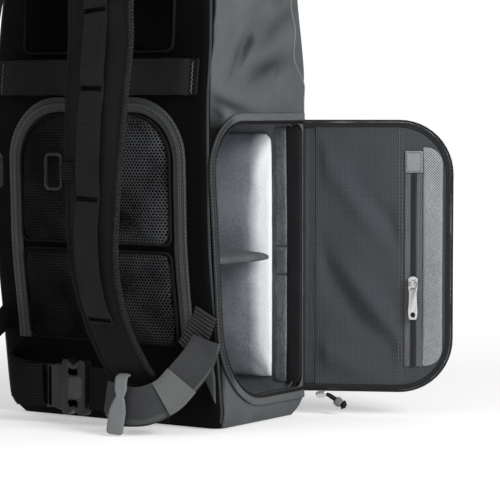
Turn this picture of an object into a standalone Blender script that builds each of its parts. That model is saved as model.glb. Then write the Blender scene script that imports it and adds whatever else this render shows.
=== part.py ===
"""Camera backpack with an open side door, standing on its flat underside.

Metres, +Z up. The origin is the centre of the underside. The harness side faces -Y,
the side door is on +X. Each named object is one piece of the pack.
"""
import bpy
import bmesh
import numpy as np
from math import cos, pi, radians, sin
from mathutils import Vector

for item in list(bpy.data.objects):
    bpy.data.objects.remove(item, do_unlink=True)

# Driving sizes of the pack
HEIGHT = 0.470
HALF_WIDTH = 0.120
HALF_DEPTH = 0.080
CLOTH = 0.0025
FOLD_DEPTH = 0.0035
# Clearances between pieces that touch on the real pack
GAP = 0.0003
SEAT = 0.0005
FRONT_SEAT = 0.0009
# Side opening and what lines it
OPENING_LOW = 0.026
OPENING_HIGH = 0.266
OPENING_REACH = 0.069
OPENING_MARGIN = 0.0105
BINDING_WIDTH = 0.0068
BINDING_THICK = 0.0022
ZIP_WIDTH = 0.0028
INSERT_WALL = 0.005
INSERT_GAP = 0.0016
INSERT_HIGH = 0.282
PLUSH_THICK = 0.012
DIVIDER_THICK = 0.009
DIVIDER_HEIGHT = 0.146
# Side door, opened on its cloth hinge
DOOR_ANGLE = 116.0
DOOR_WIDTH = 0.118
DOOR_LOW = 0.029
DOOR_HIGH = 0.2625
DOOR_THICK = 0.0035
DOOR_CORNER = 0.042
DOOR_BINDING = 0.0045
COIL_WIDTH = 0.0022
HINGE_STEP = 0.010
EDGE_START = 0.004
# Zipped pocket on the door's inner face
POCKET_SEAM = 0.0915
POCKET_INSET = 0.0176
POCKET_ROUND = 0.85
TAPE_WIDTH = 0.016
TAPE_THICK = 0.0010
TAPE_LOW = 0.046
TAPE_HIGH = 0.221
POCKET_COIL = 0.0044
POCKET_THICK = 0.0022
SLIDER_HEIGHT = 0.122
SLIDER_WIDTH = 0.0085
SLIDER_LENGTH = 0.0120
SLIDER_THICK = 0.0026
PULL_LENGTH = 0.0330
PULL_WIDTH = 0.0086
PULL_THICK = 0.0016
PULL_CLEAR = 0.0005
# Rear panel
PAD_HALF_WIDTH = 0.084
PAD_LOW = 0.072
PAD_CREASE = 0.158
PAD_HIGH = 0.276
PAD_THICK = 0.013
CREASE_GAP = 0.004
TRACK_WIDTH = 0.014
TRACK_THICK = 0.0016
BAND_LOW = 0.2915
BAND_HIGH = 0.323
BAND_THICK = 0.0022
TOP_PAD_LOW = 0.328
TOP_PAD_HIGH = 0.404
TOP_PAD_THICK = 0.012
# Shoulder straps
STRAP_REACH = 0.096
STRAP_WIDTH = 0.066
STRAP_THICK = 0.011
RIB_WIDTH = 0.024
WEB_THICK = 0.0018
RING_WIDTH = 0.020
RING_HEIGHT = 0.032
RING_WIRE = 0.0032
# Hip belt
BELT_WIDTH = 0.038
BELT_REACH = 0.030
BUCKLE_WIDTH = 0.050
BUCKLE_THICK = 0.011
STACK_THICK = 0.0060
TAIL_WIDTH = 0.024
GREY_WIDTH = 0.016
# Zip pull cord
CORD = 0.0024

# Materials: name, colour, roughness, metallic
FINISHES = {
    "shell_fabric": ((0.060, 0.062, 0.066), 0.75, 0.0),
    "black_mesh": ((0.012, 0.012, 0.013), 0.85, 0.0),
    "black_webbing": ((0.018, 0.018, 0.019), 0.65, 0.0),
    "grey_binding": ((0.170, 0.178, 0.182), 0.70, 0.0),
    "strap_fabric": ((0.026, 0.026, 0.028), 0.75, 0.0),
    "door_lining": ((0.055, 0.062, 0.072), 0.60, 0.0),
    "heather_fabric": ((0.120, 0.126, 0.132), 0.80, 0.0),
    "plush": ((0.480, 0.500, 0.540), 0.95, 0.0),
    "dark_plush": ((0.050, 0.052, 0.056), 0.95, 0.0),
    "black_plastic": ((0.022, 0.022, 0.024), 0.35, 0.0),
    "zip_coil": ((0.020, 0.020, 0.022), 0.40, 0.0),
    "metal": ((0.620, 0.620, 0.630), 0.25, 1.0),
}


def finish(name):
    material = bpy.data.materials.get(name)
    if material is None:
        colour, roughness, metallic = FINISHES[name]
        material = bpy.data.materials.new(name)
        material.use_nodes = True
        shader = material.node_tree.nodes["Principled BSDF"]
        shader.inputs["Base Color"].default_value = (*colour, 1.0)
        shader.inputs["Roughness"].default_value = roughness
        shader.inputs["Metallic"].default_value = metallic
    return material


def add_mesh(name, points, faces, material, smooth=True):
    """Make one closed object from points and faces, with its faces pointing out."""
    mesh = bpy.data.meshes.new(name)
    mesh.from_pydata([tuple(point) for point in points], [], faces)
    work = bmesh.new()
    work.from_mesh(mesh)
    bmesh.ops.recalc_face_normals(work, faces=work.faces)
    work.to_mesh(mesh)
    work.free()
    mesh.materials.append(finish(material))
    if smooth:
        mesh.shade_smooth()
        mesh.set_sharp_from_angle(angle=radians(38))
    piece = bpy.data.objects.new(name, mesh)
    bpy.context.scene.collection.objects.link(piece)
    return piece


def loft(name, rings, material, smooth=True):
    """Join rings of equal length into a closed skin with a flat cap at each end."""
    count = len(rings[0])
    points = [point for ring in rings for point in ring]
    faces = [list(range(count)), list(range(len(points) - count, len(points)))]
    for level in range(len(rings) - 1):
        for step in range(count):
            low = level * count
            after = (step + 1) % count
            faces.append([low + step, low + after, low + count + after, low + count + step])
    return add_mesh(name, points, faces, material, smooth)


def boolean(piece, operand, operation):
    modifier = piece.modifiers.new(operation.lower(), "BOOLEAN")
    modifier.operation = operation
    modifier.solver = "EXACT"
    modifier.object = operand
    operand.hide_render = True
    operand.display_type = "WIRE"


def eased(table, column, share):
    """Read one column of a table at a share of its first column, without overshoot."""
    places = np.array([row[0] for row in table])
    values = np.array([row[column] for row in table])
    slopes = np.diff(values) / np.diff(places)
    tangents = np.zeros(len(places))
    tangents[0] = slopes[0]
    tangents[-1] = slopes[-1]
    for i in range(1, len(places) - 1):
        if slopes[i - 1] * slopes[i] > 0:
            tangents[i] = 2 * slopes[i - 1] * slopes[i] / (slopes[i - 1] + slopes[i])
    share = min(max(share, places[0]), places[-1])
    i = min(int(np.searchsorted(places, share, side="right")) - 1, len(places) - 2)
    span = places[i + 1] - places[i]
    t = (share - places[i]) / span
    start = (2 * t**3 - 3 * t**2 + 1) * values[i] + (t**3 - 2 * t**2 + t) * span * tangents[i]
    end = (3 * t**2 - 2 * t**3) * values[i + 1] + (t**3 - t**2) * span * tangents[i + 1]
    return start + end


# Level sections of the body. Columns: height share, half width share, back share and
# front share of the half depth, back corner share and front corner share of it
SECTIONS = [
    (0.000, 0.935, 0.660, 0.900, 0.14, 0.14),
    (0.020, 0.982, 0.735, 0.945, 0.12, 0.12),
    (0.040, 1.000, 0.765, 0.965, 0.11, 0.10),
    (0.085, 1.000, 0.800, 0.975, 0.10, 0.08),
    (0.180, 1.000, 0.870, 0.985, 0.10, 0.08),
    (0.360, 1.000, 0.995, 0.985, 0.10, 0.08),
    (0.600, 1.000, 1.025, 0.960, 0.10, 0.09),
    (0.660, 1.000, 0.995, 0.975, 0.10, 0.12),
    (0.720, 0.990, 0.945, 1.000, 0.11, 0.18),
    (0.810, 0.975, 0.910, 0.985, 0.15, 0.28),
    (0.900, 0.940, 0.850, 0.880, 0.22, 0.34),
    (0.960, 0.880, 0.730, 0.740, 0.30, 0.36),
    (1.000, 0.760, 0.560, 0.540, 0.34, 0.36),
]
# Soft folds. Columns: face, place across and up, length, spread, lean in degrees, depth.
# Lengths are shares of the height, the depth is a share of FOLD_DEPTH
FOLDS = [
    ("right", -0.06, 0.735, 0.10, 0.022, 38.0, -0.9),
    ("right", 0.05, 0.700, 0.08, 0.024, -22.0, 0.8),
    ("right", 0.02, 0.800, 0.12, 0.030, 20.0, 0.9),
    ("left", 0.02, 0.300, 0.16, 0.034, 24.0, 0.9),
    ("left", -0.04, 0.665, 0.12, 0.026, -30.0, -0.9),
    ("left", 0.05, 0.780, 0.14, 0.034, 18.0, 0.9),
]
RING_SIDE_STEPS = 5
RING_CORNER_STEPS = 3
BODY_LEVELS = 24
INSERT_LEVELS = 11


def body_back(z):
    return -HALF_DEPTH * eased(SECTIONS, 2, z / HEIGHT)


def body_front(z):
    return HALF_DEPTH * eased(SECTIONS, 3, z / HEIGHT)


def body_half_width(z):
    return HALF_WIDTH * eased(SECTIONS, 1, z / HEIGHT)


def fold_offset(face, across, z):
    offset = 0.0
    for name, place, up, length, spread, lean, depth in FOLDS:
        if name == face:
            u = across / HEIGHT - place
            v = z / HEIGHT - up
            along = u * cos(radians(lean)) + v * sin(radians(lean))
            beside = v * cos(radians(lean)) - u * sin(radians(lean))
            offset += depth * np.exp(-((along / length) ** 2) - (beside / spread) ** 2)
    return FOLD_DEPTH * offset


def level_ring(z, inset):
    """One level section of the body, drawn in by an inset, as a rounded rectangle."""
    half = body_half_width(z) - inset
    back = body_back(z) + inset
    front = body_front(z) - inset
    back_corner = max(HALF_DEPTH * eased(SECTIONS, 4, z / HEIGHT) - inset, CLOTH)
    front_corner = max(HALF_DEPTH * eased(SECTIONS, 5, z / HEIGHT) - inset, CLOTH)
    corners = [
        (half - front_corner, front - front_corner, front_corner, 0),
        (-half + front_corner, front - front_corner, front_corner, 90),
        (-half + back_corner, back + back_corner, back_corner, 180),
        (half - back_corner, back + back_corner, back_corner, 270),
    ]
    points = []
    for index, (x, y, radius, start) in enumerate(corners):
        for step in range(RING_CORNER_STEPS + 1):
            angle = radians(start + 90 * step / RING_CORNER_STEPS)
            points.append(Vector((x + radius * cos(angle), y + radius * sin(angle), z)))
        last = points[-1]
        x2, y2, radius2, start2 = corners[(index + 1) % 4]
        angle2 = radians(start2)
        following = Vector((x2 + radius2 * cos(angle2), y2 + radius2 * sin(angle2), z))
        for step in range(1, RING_SIDE_STEPS):
            points.append(last.lerp(following, step / RING_SIDE_STEPS))
    for point in points:
        if abs(point.y - back) > GAP and abs(point.y - front) > GAP:
            face = "right" if point.x > 0 else "left"
            point.x += np.sign(point.x) * fold_offset(face, point.y, z)
    return points


def body_rings(inset, low, high, levels):
    rings = []
    for level in range(levels + 1):
        t = level / levels
        share = t - 0.35 * sin(2 * pi * t) / (2 * pi)
        rings.append(level_ring(low + (high - low) * share, inset))
    return rings


def rounded_outline(low, high, corners, steps):
    """A rectangle with a radius of its own at each corner, counter-clockwise from
    the upper right. Columns of corners: sign across, sign up, radius."""
    points = []
    for index, (across, up, radius) in enumerate(corners):
        centre_u = (high[0] - radius) if across > 0 else (low[0] + radius)
        centre_v = (high[1] - radius) if up > 0 else (low[1] + radius)
        for step in range(steps + 1):
            angle = radians(90 * (index + step / steps))
            points.append((centre_u + radius * cos(angle), centre_v + radius * sin(angle)))
    return points


# Corner radii of the side opening, as shares of its height. Columns: across, up, radius
OPENING_CORNERS = [(1, 1, 0.04), (-1, 1, 0.17), (-1, -1, 0.25), (1, -1, 0.05)]


def opening_outline(grow, steps):
    """Outline of the side opening in (y, z), grown outward by a width. Its rear edge
    keeps a margin to the rear panel, which leans in towards the base."""
    height = OPENING_HIGH - OPENING_LOW
    corners = [(across, up, share * height + grow) for across, up, share in OPENING_CORNERS]
    rear = body_back((OPENING_LOW + OPENING_HIGH) / 2) + OPENING_MARGIN
    low = (rear - grow, OPENING_LOW - grow)
    high = (OPENING_REACH + grow, OPENING_HIGH + grow)
    points = []
    for y, z in rounded_outline(low, high, corners, steps):
        lean = body_back(z) + OPENING_MARGIN - rear
        points.append((y + lean * (high[0] - y) / (high[0] - low[0]), z))
    return points


def even_corners(radius):
    """The same radius at each corner of a rounded outline."""
    return [(1, 1, radius), (-1, 1, radius), (-1, -1, radius), (1, -1, radius)]


def prism_x(name, outline, start, end, material):
    rings = [[Vector((x, y, z)) for y, z in outline] for x in (start, end)]
    return loft(name, rings, material, smooth=False)


def body():
    shell = loft("body_shell", body_rings(0.0, 0.0, HEIGHT, BODY_LEVELS), "shell_fabric")
    hollow = body_rings(CLOTH, CLOTH, HEIGHT - CLOTH, BODY_LEVELS)
    boolean(shell, loft("hollow_cutter", hollow, "shell_fabric"), "DIFFERENCE")
    outline = opening_outline(0.0, 5)
    inner = HALF_WIDTH - CLOTH - INSERT_WALL * 3
    cutter = prism_x("opening_cutter", outline, inner, HALF_WIDTH + CLOTH, "shell_fabric")
    boolean(shell, cutter, "DIFFERENCE")
    return cutter


def insert(cutter):
    """The padded box that lines the camera compartment."""
    outside = CLOTH + INSERT_GAP
    inside = outside + INSERT_WALL
    rings = body_rings(outside, outside, INSERT_HIGH, INSERT_LEVELS)
    box = loft("padded_insert", rings, "dark_plush")
    rings = body_rings(inside, inside, INSERT_HIGH - INSERT_WALL, INSERT_LEVELS)
    boolean(box, loft("insert_cutter", rings, "dark_plush"), "DIFFERENCE")
    boolean(box, cutter, "DIFFERENCE")


def dome(name, outline, place, height, material, crowns):
    """A crowned pad: rings of an outline, shrunk to its middle, over a flat back.
    Columns of crowns: share of the outline, share of the height."""
    middle = (sum(u for u, v in outline) / len(outline), sum(v for u, v in outline) / len(outline))
    back = [(share, 0.0) for share, rise in crowns]
    front = [(share, rise * height) for share, rise in reversed(crowns)]
    points = []
    for share, rise in back + front:
        for u, v in outline:
            across = middle[0] + (u - middle[0]) * share
            points.append(place(across, middle[1] + (v - middle[1]) * share, rise))
    count = len(outline)
    total = len(back) + len(front)
    faces = []
    for level in range(total - 1):
        for step in range(count):
            low = level * count
            after = (step + 1) % count
            faces.append([low + step, low + after, low + count + after, low + count + step])
    centre_back = len(points)
    points.append(place(*middle, 0.0))
    centre_front = len(points)
    points.append(place(*middle, height * crowns[0][1]))
    for step in range(count):
        after = (step + 1) % count
        faces.append([centre_back, after, step])
        faces.append([centre_front, (total - 1) * count + step, (total - 1) * count + after])
    return add_mesh(name, points, faces, material)


def sweep(name, path, across, section, material, closed=False, smooth=True, scales=None):
    """Carry a section along a path. Section columns: along the width, along the normal.
    Scales stretch the width at each point of the path."""
    scales = scales or [1.0] * len(path)
    rings = []
    count = len(path)
    for i, point in enumerate(path):
        before = path[i - 1] if (i > 0 or closed) else path[i]
        following = path[(i + 1) % count] if (i < count - 1 or closed) else path[i]
        tangent = (following - before).normalized()
        width = across[i] - tangent * across[i].dot(tangent)
        width.normalize()
        normal = tangent.cross(width)
        rings.append([point + width * a * scales[i] + normal * b for a, b in section])
    if not closed:
        return loft(name, rings, material, smooth)
    size = len(section)
    points = [point for ring in rings for point in ring]
    faces = []
    for level in range(count):
        low = level * size
        high = ((level + 1) % count) * size
        for step in range(size):
            after = (step + 1) % size
            faces.append([low + step, low + after, high + after, high + step])
    return add_mesh(name, points, faces, material, smooth)


def flat_section(width, thickness, start=0.0):
    """A strip's section, from a start height up to its thickness."""
    half = width / 2
    return [(-half, start), (half, start), (half, start + thickness), (-half, start + thickness)]


def padded_section(width, thickness):
    """A soft strap's section: full in the middle, thin at rounded edges."""
    shares = [(-1, -0.16), (-0.72, -0.5), (0.72, -0.5), (1, -0.16),
              (1, 0.16), (0.72, 0.5), (-0.72, 0.5), (-1, 0.16)]
    return [(a * width / 2, b * thickness) for a, b in shares]


def smooth_rows(rows, steps):
    """Rows of numbers read at even steps along a smooth curve through them."""
    values = np.array(rows, float)
    result = []
    for i in range(len(values) - 1):
        first = values[max(i - 1, 0)]
        start, end = values[i], values[i + 1]
        last = values[min(i + 2, len(values) - 1)]
        for step in range(steps):
            t = step / steps
            curve = 2 * start + (end - first) * t
            curve = curve + (2 * first - 5 * start + 4 * end - last) * t**2
            curve = curve + (3 * start - first - 3 * end + last) * t**3
            result.append(curve / 2)
    result.append(values[-1])
    return result


def harness_path(rows, reach, steps, side=1):
    """Path and width directions of a strap. Columns: half width share, reach share out
    from the rear panel, height share, turn and tilt of the width direction in degrees.
    Further columns are left to the caller."""
    path = []
    across = []
    for x, out, z, turn, tilt, *rest in smooth_rows(rows, steps):
        height = z * HEIGHT
        path.append(Vector((side * x * HALF_WIDTH, body_back(height) - out * reach, height)))
        turn = radians(turn)
        tilt = radians(tilt)
        across.append(Vector((side * cos(tilt) * cos(turn), cos(tilt) * sin(turn), sin(tilt))))
    return path, across


def on_back(u, v, rise):
    return Vector((u, body_back(v) - SEAT - rise, v))


def on_front(u, v, rise):
    return Vector((u, body_front(v) + FRONT_SEAT + rise, v))


# Crown of a padded panel. Columns: share of the outline, share of the height
PAD_CROWN = [(0.55, 1.0), (0.85, 0.92), (0.96, 0.68), (1.0, 0.30)]
FLAT_CROWN = [(0.50, 1.0), (0.90, 0.95), (1.0, 0.60)]


def pad_outline(half, low, high, corners, steps=3, fill=3):
    """Outline of a panel, with points added along its long sides."""
    rounded = rounded_outline((-half, low), (half, high), corners, steps)
    points = []
    for i, point in enumerate(rounded):
        points.append(point)
        following = rounded[(i + 1) % len(rounded)]
        length = ((following[0] - point[0]) ** 2 + (following[1] - point[1]) ** 2) ** 0.5
        parts = fill if length > half / 3 else 1
        for step in range(1, parts):
            t = step / parts
            u = point[0] + (following[0] - point[0]) * t
            points.append((u, point[1] + (following[1] - point[1]) * t))
    return points


def rear_panel():
    pad_corner = PAD_HALF_WIDTH * 0.5
    small = PAD_HALF_WIDTH * 0.1
    upper = [(1, 1, pad_corner), (-1, 1, pad_corner), (-1, -1, small), (1, -1, small)]
    lower = even_corners(small)
    outline = pad_outline(PAD_HALF_WIDTH, PAD_CREASE + CREASE_GAP / 2, PAD_HIGH, upper)
    dome("upper_mesh_pad", outline, on_back, PAD_THICK, "black_mesh", PAD_CROWN)
    outline = pad_outline(PAD_HALF_WIDTH, PAD_LOW, PAD_CREASE - CREASE_GAP / 2, lower)
    dome("lower_mesh_pad", outline, on_back, PAD_THICK, "black_mesh", PAD_CROWN)
    outline = pad_outline(PAD_HALF_WIDTH, TOP_PAD_LOW, TOP_PAD_HIGH, lower)
    dome("top_mesh_pad", outline, on_back, TOP_PAD_THICK, "black_mesh", PAD_CROWN)
    rear_zip(pad_corner)
    luggage_band()


def rear_zip(pad_corner):
    """Zip tape that arches over the mesh pads and runs down both of their sides."""
    side = PAD_HALF_WIDTH + GAP + TRACK_WIDTH / 2
    top = PAD_HIGH + GAP + TRACK_WIDTH / 2
    radius = pad_corner + TRACK_WIDTH / 2
    path = []
    for step in range(8):
        path.append((side, PAD_LOW + (top - radius - PAD_LOW) * step / 8))
    for step in range(7):
        angle = pi / 2 * step / 6
        path.append((side - radius + radius * cos(angle), top - radius + radius * sin(angle)))
    path = path + [(-u, v) for u, v in reversed(path)]
    points = [on_back(u, v, 0.0) for u, v in path]
    across = []
    for i in range(len(points)):
        tangent = points[min(i + 1, len(points) - 1)] - points[max(i - 1, 0)]
        across.append(Vector((0, -1, 0)).cross(tangent).normalized())
    section = flat_section(TRACK_WIDTH - GAP * 2, TRACK_THICK)
    sweep("rear_zip", points, across, section, "grey_binding")


def luggage_band():
    """Wide band that slides over a trolley handle, sewn at both ends."""
    rows = [(1.0, 0.0), (0.93, 0.0), (0.84, 1.0), (0.5, 1.5), (0.0, 1.7), (-0.5, 1.5),
            (-0.84, 1.0), (-0.93, 0.0), (-1.0, 0.0)]
    width = body_half_width(BAND_LOW) - HALF_DEPTH * 0.12
    middle = (BAND_LOW + BAND_HIGH) / 2
    stand = BAND_THICK * 2.5
    lean = body_back(BAND_HIGH) - body_back(BAND_LOW)
    upright = Vector((0, lean, BAND_HIGH - BAND_LOW)).normalized()
    seat = body_back(middle)
    path = []
    for x, out in smooth_rows(rows, 2):
        path.append(Vector((x * width, seat - SEAT * 2 - out * stand, middle)))
    across = [upright for point in path]
    section = [(a, -b) for a, b in flat_section(BAND_HIGH - BAND_LOW, BAND_THICK)]
    sweep("luggage_band", path, across, section, "black_webbing")


# Shoulder strap. Columns: half width share, reach share, height share, turn and tilt,
# the share of the strap's width, and how far out the left strap spreads
STRAP_ROUTE = [
    (0.40, 0.066, 0.882, 0.0, 0.0, 0.96, 0.00),
    (0.40, 0.072, 0.908, 0.0, 0.0, 0.96, 0.00),
    (0.42, 0.22, 0.946, 0.0, 0.0, 1.00, 0.00),
    (0.46, 0.50, 0.955, 0.0, 0.0, 1.00, 0.00),
    (0.52, 0.78, 0.905, 0.0, 0.0, 1.00, 0.00),
    (0.58, 0.94, 0.800, 0.0, 0.0, 1.00, 0.00),
    (0.62, 0.98, 0.690, 0.0, 0.0, 1.00, 0.00),
    (0.62, 0.99, 0.600, 0.0, 0.0, 0.96, 0.00),
    (0.595, 1.00, 0.470, 0.0, 0.0, 0.85, 0.00),
    (0.575, 1.00, 0.365, 0.0, 0.0, 0.78, 0.03),
    (0.570, 0.97, 0.285, 0.0, 0.0, 0.71, 0.09),
    (0.545, 0.84, 0.212, 4.0, 0.0, 0.66, 0.19),
    (0.525, 0.64, 0.146, 8.0, 0.0, 0.65, 0.27),
    (0.500, 0.43, 0.100, 10.0, 0.0, 0.65, 0.32),
]
STRAP_STEPS = 3
RIB_START = 5
RIB_END = 11
RING_ROW = 8


def shoulder_straps():
    for label, side in (("right", 1), ("left", -1)):
        route = STRAP_ROUTE
        if side < 0:
            route = [(row[0] + row[6], *row[1:]) for row in STRAP_ROUTE[:-1]]
        path, across = harness_path(route, STRAP_REACH, STRAP_STEPS, side)
        scales = [row[5] for row in smooth_rows(route, STRAP_STEPS)]
        section = padded_section(STRAP_WIDTH, STRAP_THICK)
        sweep(f"strap_pad_{label}", path, across, section, "strap_fabric", scales=scales)
        start = RIB_START * STRAP_STEPS
        end = RIB_END * STRAP_STEPS
        out = side * (STRAP_THICK / 2 + SEAT)
        section = flat_section(RIB_WIDTH, side * WEB_THICK, out)
        sweep(f"strap_webbing_{label}", path[start:end], across[start:end], section, "black_webbing")
        strap_ring(label, side, path[RING_ROW * STRAP_STEPS], scales[RING_ROW * STRAP_STEPS])


def strap_ring(label, side, centre, scale):
    """Rectangular ring at the strap's inner edge, held by a tab of webbing."""
    edge = centre.x - side * scale * STRAP_WIDTH / 2
    front = centre.y - STRAP_THICK * 0.35
    corner = RING_WIRE * 1.2
    overlap = RING_WIRE * 0.25
    inward = edge - side * (RING_WIDTH / 2 + overlap)
    middle = Vector((inward, front, centre.z + RING_HEIGHT * 0.2))
    half_u = (RING_WIDTH - RING_WIRE) / 2
    half_v = (RING_HEIGHT - RING_WIRE) / 2
    outline = rounded_outline((-half_u, -half_v), (half_u, half_v), even_corners(corner), 2)
    path = [middle + Vector((u, 0, v)) for u, v in outline]
    across = [Vector((0, 1, 0)) for point in path]
    half = RING_WIRE / 2
    section = [(-half, -half), (half, -half), (half, half), (-half, half)]
    sweep(f"strap_ring_{label}", path, across, section, "black_plastic", closed=True)
    start = edge - side * (overlap - GAP)
    end = centre.x - side * (RIB_WIDTH / 2 + GAP)
    rise = centre.y - STRAP_THICK / 2 - GAP - WEB_THICK
    low = middle.z - half_v * 0.55
    high = middle.z + half_v * 0.55
    tab = [(start, low), (end, low), (end, high), (start, high)]
    rings = [[Vector((x, y, z)) for x, z in tab] for y in (rise, rise + WEB_THICK)]
    loft(f"ring_tab_{label}", rings, "black_webbing", smooth=False)


def door_point(u, z, rise):
    """A place on the door: along it from the hinge, up, and out from its inner face."""
    angle = radians(DOOR_ANGLE)
    along = Vector((sin(angle), -cos(angle), 0))
    inner = Vector((-cos(angle), -sin(angle), 0))
    corner = HALF_DEPTH * eased(SECTIONS, 5, OPENING_LOW / HEIGHT)
    hinge = Vector((HALF_WIDTH + GAP * 3, body_front(OPENING_LOW) - corner * 0.8, 0))
    return hinge + along * u + inner * rise + Vector((0, 0, z))


def on_door_back(u, z, rise):
    return door_point(u, z, rise - DOOR_THICK)


def door_outline(grow, steps):
    radius = DOOR_CORNER + grow
    small = GAP * 4
    low = (HINGE_STEP, DOOR_LOW - grow)
    high = (HINGE_STEP + DOOR_WIDTH + grow, DOOR_HIGH + grow)
    corners = [(1, 1, radius), (-1, 1, small), (-1, -1, small), (1, -1, radius)]
    return rounded_outline(low, high, corners, steps)


DOOR_CROWN = [(0.40, 1.0), (0.86, 1.0), (1.0, 0.8)]


def door():
    outline = door_outline(0.0, 6)
    dome("door_panel", outline, on_door_back, DOOR_THICK, "door_lining", DOOR_CROWN)
    door_edge("door_binding", GAP, DOOR_BINDING, DOOR_THICK * 1.5, "black_webbing")
    door_edge("door_zip", GAP * 2 + DOOR_BINDING, COIL_WIDTH, DOOR_THICK * 0.7, "zip_coil")
    door_hinge()
    door_pocket()


def door_edge(name, offset, width, thickness, material):
    """A strip round the door's top, outer and lower edge, at an offset from the panel."""
    grow = offset + width / 2
    outline = door_outline(grow, 6)
    top = outline[0:7]
    low = outline[21:28]
    start = (EDGE_START, DOOR_HIGH + grow)
    end = (EDGE_START, DOOR_LOW - grow)
    path = [start] + list(reversed(top)) + list(reversed(low)) + [end]
    points = [door_point(u, v, -DOOR_THICK / 2) for u, v in path]
    inner = door_point(0, 0, 1) - door_point(0, 0, 0)
    across = [inner for point in points]
    half = thickness / 2
    section = [(-half, -width / 2), (half, -width / 2), (half, width / 2), (-half, width / 2)]
    sweep(name, points, across, section, material)


def door_hinge():
    """Cloth strip that carries the door from the pack's front edge."""
    low = DOOR_LOW + GAP
    high = DOOR_HIGH - GAP
    outline = [(GAP, low), (HINGE_STEP - GAP, low), (HINGE_STEP - GAP, high), (GAP, high)]
    dome("door_hinge", outline, on_door_back, CLOTH, "black_webbing", FLAT_CROWN)


def door_pocket():
    """Zipped pocket along the door's outer third, with its tape, coil, slider and pull."""
    base = GAP
    left = POCKET_SEAM
    right = POCKET_SEAM + TAPE_WIDTH
    tape = [(left, TAPE_LOW), (right, TAPE_LOW), (right, TAPE_HIGH), (left, TAPE_HIGH)]
    slab("pocket_tape", tape, base, TAPE_THICK, "black_webbing")
    outer = HINGE_STEP + DOOR_WIDTH - GAP * 8
    radius = (outer - right) * POCKET_ROUND
    panel = rounded_outline((right + GAP, DOOR_LOW + POCKET_INSET), (outer, DOOR_HIGH - POCKET_INSET),
                            [(1, 1, radius), (-1, 1, GAP * 3), (-1, -1, GAP * 3), (1, -1, radius)], 3)
    slab("pocket_panel", panel, base, POCKET_THICK, "heather_fabric")
    middle = (left + right) / 2
    coil = [(middle - POCKET_COIL / 2, TAPE_LOW), (middle + POCKET_COIL / 2, TAPE_LOW),
            (middle + POCKET_COIL / 2, TAPE_HIGH), (middle - POCKET_COIL / 2, TAPE_HIGH)]
    slab("pocket_coil", coil, base + TAPE_THICK + GAP, TAPE_THICK * 1.2, "zip_coil")
    patch_low = TAPE_HIGH + GAP * 2
    patch_high = patch_low + TAPE_WIDTH * 1.25
    patch = [(left, patch_low), (right, patch_low), (right, patch_high), (left, patch_high)]
    slab("pocket_patch", patch, base, TAPE_THICK * 1.6, "grey_binding")
    pocket_slider(middle, base + TAPE_THICK + GAP + TAPE_THICK * 1.2 + GAP)


def slab(name, outline, base, thickness, material):
    heights = (base, base + thickness)
    rings = [[door_point(u, v, height) for u, v in outline] for height in heights]
    return loft(name, rings, material, smooth=False)


def door_block(name, u, v, rise, material):
    """A box on the door from three ranges: along, up and out."""
    outline = [(u[0], v[0]), (u[1], v[0]), (u[1], v[1]), (u[0], v[1])]
    return slab(name, outline, rise[0], rise[1] - rise[0], material)


def pocket_slider(middle, base):
    """Slider with a bridge, and a flat pull whose bar turns inside the bridge."""
    top = base + SLIDER_THICK
    bar = PULL_THICK
    tunnel = bar + PULL_CLEAR * 2
    leg = SLIDER_THICK * 0.5
    bridge_half = SLIDER_WIDTH * 0.15
    centre = SLIDER_HEIGHT
    half_length = SLIDER_LENGTH / 2
    across = (middle - SLIDER_WIDTH / 2, middle + SLIDER_WIDTH / 2)
    along = (centre - half_length, centre + half_length)
    slider = door_block("pocket_slider", across, along, (base, top), "metal")
    arch_range = (centre - tunnel / 2 - leg, centre + tunnel / 2 + leg)
    rises = (top - leg / 2, top + tunnel + leg)
    across = (middle - bridge_half, middle + bridge_half)
    arch = door_block("bridge_form", across, arch_range, rises, "metal")
    boolean(slider, arch, "UNION")
    across = (middle - SLIDER_WIDTH, middle + SLIDER_WIDTH)
    along = (centre - tunnel / 2, centre + tunnel / 2)
    hole = door_block("bridge_cutter", across, along, (top, top + tunnel), "metal")
    boolean(slider, hole, "DIFFERENCE")
    axis_rise = top + tunnel / 2
    plate = (axis_rise - bar / 2, axis_rise + bar / 2)
    half = PULL_WIDTH / 2
    narrow = PULL_WIDTH * 0.36
    low = centre - PULL_LENGTH
    high = centre + bar / 2
    outline = [(middle - narrow, low), (middle + narrow, low), (middle + half, low + half),
               (middle + half, high), (middle - half, high), (middle - half, low + half)]
    pull = slab("pocket_pull", outline, plate[0], bar, "metal")
    window_half = bridge_half + PULL_CLEAR
    through = (plate[0] - bar, plate[1] + bar)
    across = (middle - window_half, middle + window_half)
    along = (arch_range[0] - PULL_CLEAR * 4, centre - bar / 2)
    window = door_block("window_cutter", across, along, through, "metal")
    boolean(pull, window, "DIFFERENCE")
    eye = PULL_WIDTH * 0.2
    eye_low = low + half * 0.7
    across = (middle - eye, middle + eye)
    eye_cutter = door_block("eye_cutter", across, (eye_low, eye_low + eye * 2), through, "metal")
    boolean(pull, eye_cutter, "DIFFERENCE")


def opening_trim():
    """Grey binding round the opening's top, rear and lower edge, and the zip inside it."""
    for name, grow, width, thickness, material in (
            ("opening_binding", ZIP_WIDTH + GAP, BINDING_WIDTH, BINDING_THICK, "grey_binding"),
            ("opening_zip", 0.0, ZIP_WIDTH, BINDING_THICK * 0.8, "zip_coil")):
        outline = opening_outline(grow + width / 2, 6)
        path = [(OPENING_REACH, outline[6][1])] + outline[7:21] + [(OPENING_REACH, outline[21][1])]
        points = [Vector((HALF_WIDTH + SEAT, y, z)) for y, z in path]
        across = []
        for i in range(len(points)):
            tangent = points[min(i + 1, len(points) - 1)] - points[max(i - 1, 0)]
            across.append(Vector((1, 0, 0)).cross(tangent).normalized())
        sweep(name, points, across, flat_section(width, thickness), material)


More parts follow.
